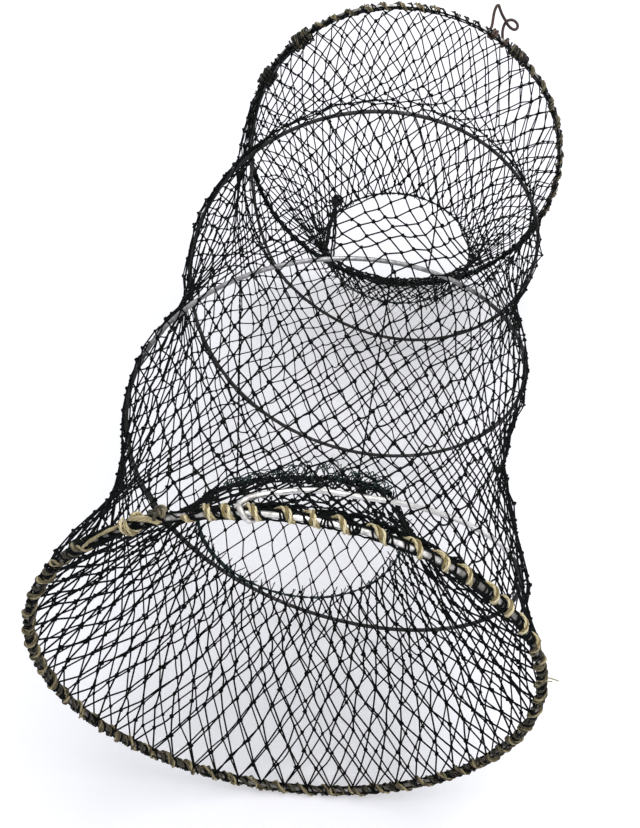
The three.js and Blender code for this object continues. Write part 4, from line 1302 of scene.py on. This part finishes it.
# %% Ties
TIE_SAG, TIE_TURNS, TIE_TWINE, TIE_ANGLE, TIE_LEAD = 3.0, 16, 0.42, 35, 20


def tie(name, throat, throat_angle, spring_angle, node):
    """Two twines laid together, from a throat's cord out to the coil."""
    start = throat_cord_point(throat, throat_angle)
    end = round_middle(spring_angle, SPRING_RADIUS, spring_along(spring_angle))
    t = np.linspace(0, 1, 40)[:, None]
    line = start + (end - start) * t + np.array([0, 0, -TIE_SAG]) * 4 * t * (1 - t)
    wind = 2 * np.pi * TIE_TURNS * t
    pair = [line + TIE_TWINE * np.hstack([np.cos(wind + phase), 0 * t, np.sin(wind + phase)])
            for phase in (0, np.pi)]
    piece = sweep(name, np.stack(pair), TIE_TWINE, 5)
    settle(piece, throat["hoop"]["body"], net_twine, [node], folds=True)


for end, throat, top in (("front", front_throat, 360), ("back", back_throat, 370)):
    for side, way in (("left", -1), ("right", 1)):
        tie(f"{end}_tie_{side}", throat, way * TIE_ANGLE, top + way * TIE_LEAD, f"{end}_throat_tie_{side}")

# %% [markdown]
# ## The latch
# The latch is one brown wire: two turns that ride on the back hoop, a tall pointed bend that leans to
# the left, a small eye that crosses behind it and one more turn. It turns on the hoop's wire.

# %% The latch wire, as if the hoop were straight
LATCH_ANGLE, LATCH_WIRE, LATCH_LEAN, COIL_REACH, COIL_PITCH = 36.0, 1.25, 25.0, 3.9, 2.8


def latch_coil(start, pitch, turns, way):
    """A coil round the hoop's wire, twelve points a turn: along the hoop, out and back."""
    step = np.arange(0, 12 * turns + 1)
    return np.stack([start + pitch * step / 12, way * COIL_REACH * np.sin(step * np.pi / 6),
                     COIL_REACH * np.cos(step * np.pi / 6)], -1)


tall_bend = [[-12.2, 5.2], [-14.6, 10.2], [-16.8, 15.0], [-17.8, 19.4], [-16.8, 21.4], [-13.6, 19.4],
             [-10.2, 17.4], [-6.8, 15.9], [-3.8, 14.8]]
eye = [[-0.6, 13.4, 4.4], [3.4, 12.9, 5.0], [6.9, 13.6, 5.6], [8.4, 16.2, 6.2], [6.8, 18.6, 6.7],
       [3.4, 19.4, 6.8], [0.0, 18.4, 6.8], [-2.4, 15.6, 6.8], [-2.8, 12.2, 6.5], [-2.2, 9.2, 5.9],
       [-1.0, 6.2, 5.0], [1.0, 3.2, 4.3]]
plan = smooth_route(np.vstack([latch_coil(-5.6, -COIL_PITCH, 2, 1), [[*p, COIL_REACH] for p in tall_bend],
                               eye, latch_coil(3.0, COIL_PITCH, 1, -1)]), 4)
print("points along the latch:", len(plan))

# %% Bend the latch round the hoop
lean, turn = LATCH_LEAN * DEGREE, LATCH_ANGLE * DEGREE
latch_out = plan[:, 1] * math.cos(lean) - plan[:, 2] * math.sin(lean)
latch_back = plan[:, 1] * math.sin(lean) + plan[:, 2] * math.cos(lean)
along_hoop = np.array([math.cos(turn), 0, -math.sin(turn)])
latch_route = (beside_hoop(back_hoop, LATCH_ANGLE, 0, 0) + plan[:, :1] * along_hoop
               + latch_out[:, None] * np.array([math.sin(turn), 0, math.cos(turn)])
               + latch_back[:, None] * np.array([0, 1.0, 0]))
latch_wire = bent_wire("bent_wire_latch", latch_route, LATCH_WIRE, 4)
settle(latch_wire, "latch", rusty_wire, ["wire_latch"])
print("pieces and triangles:", piece_count)
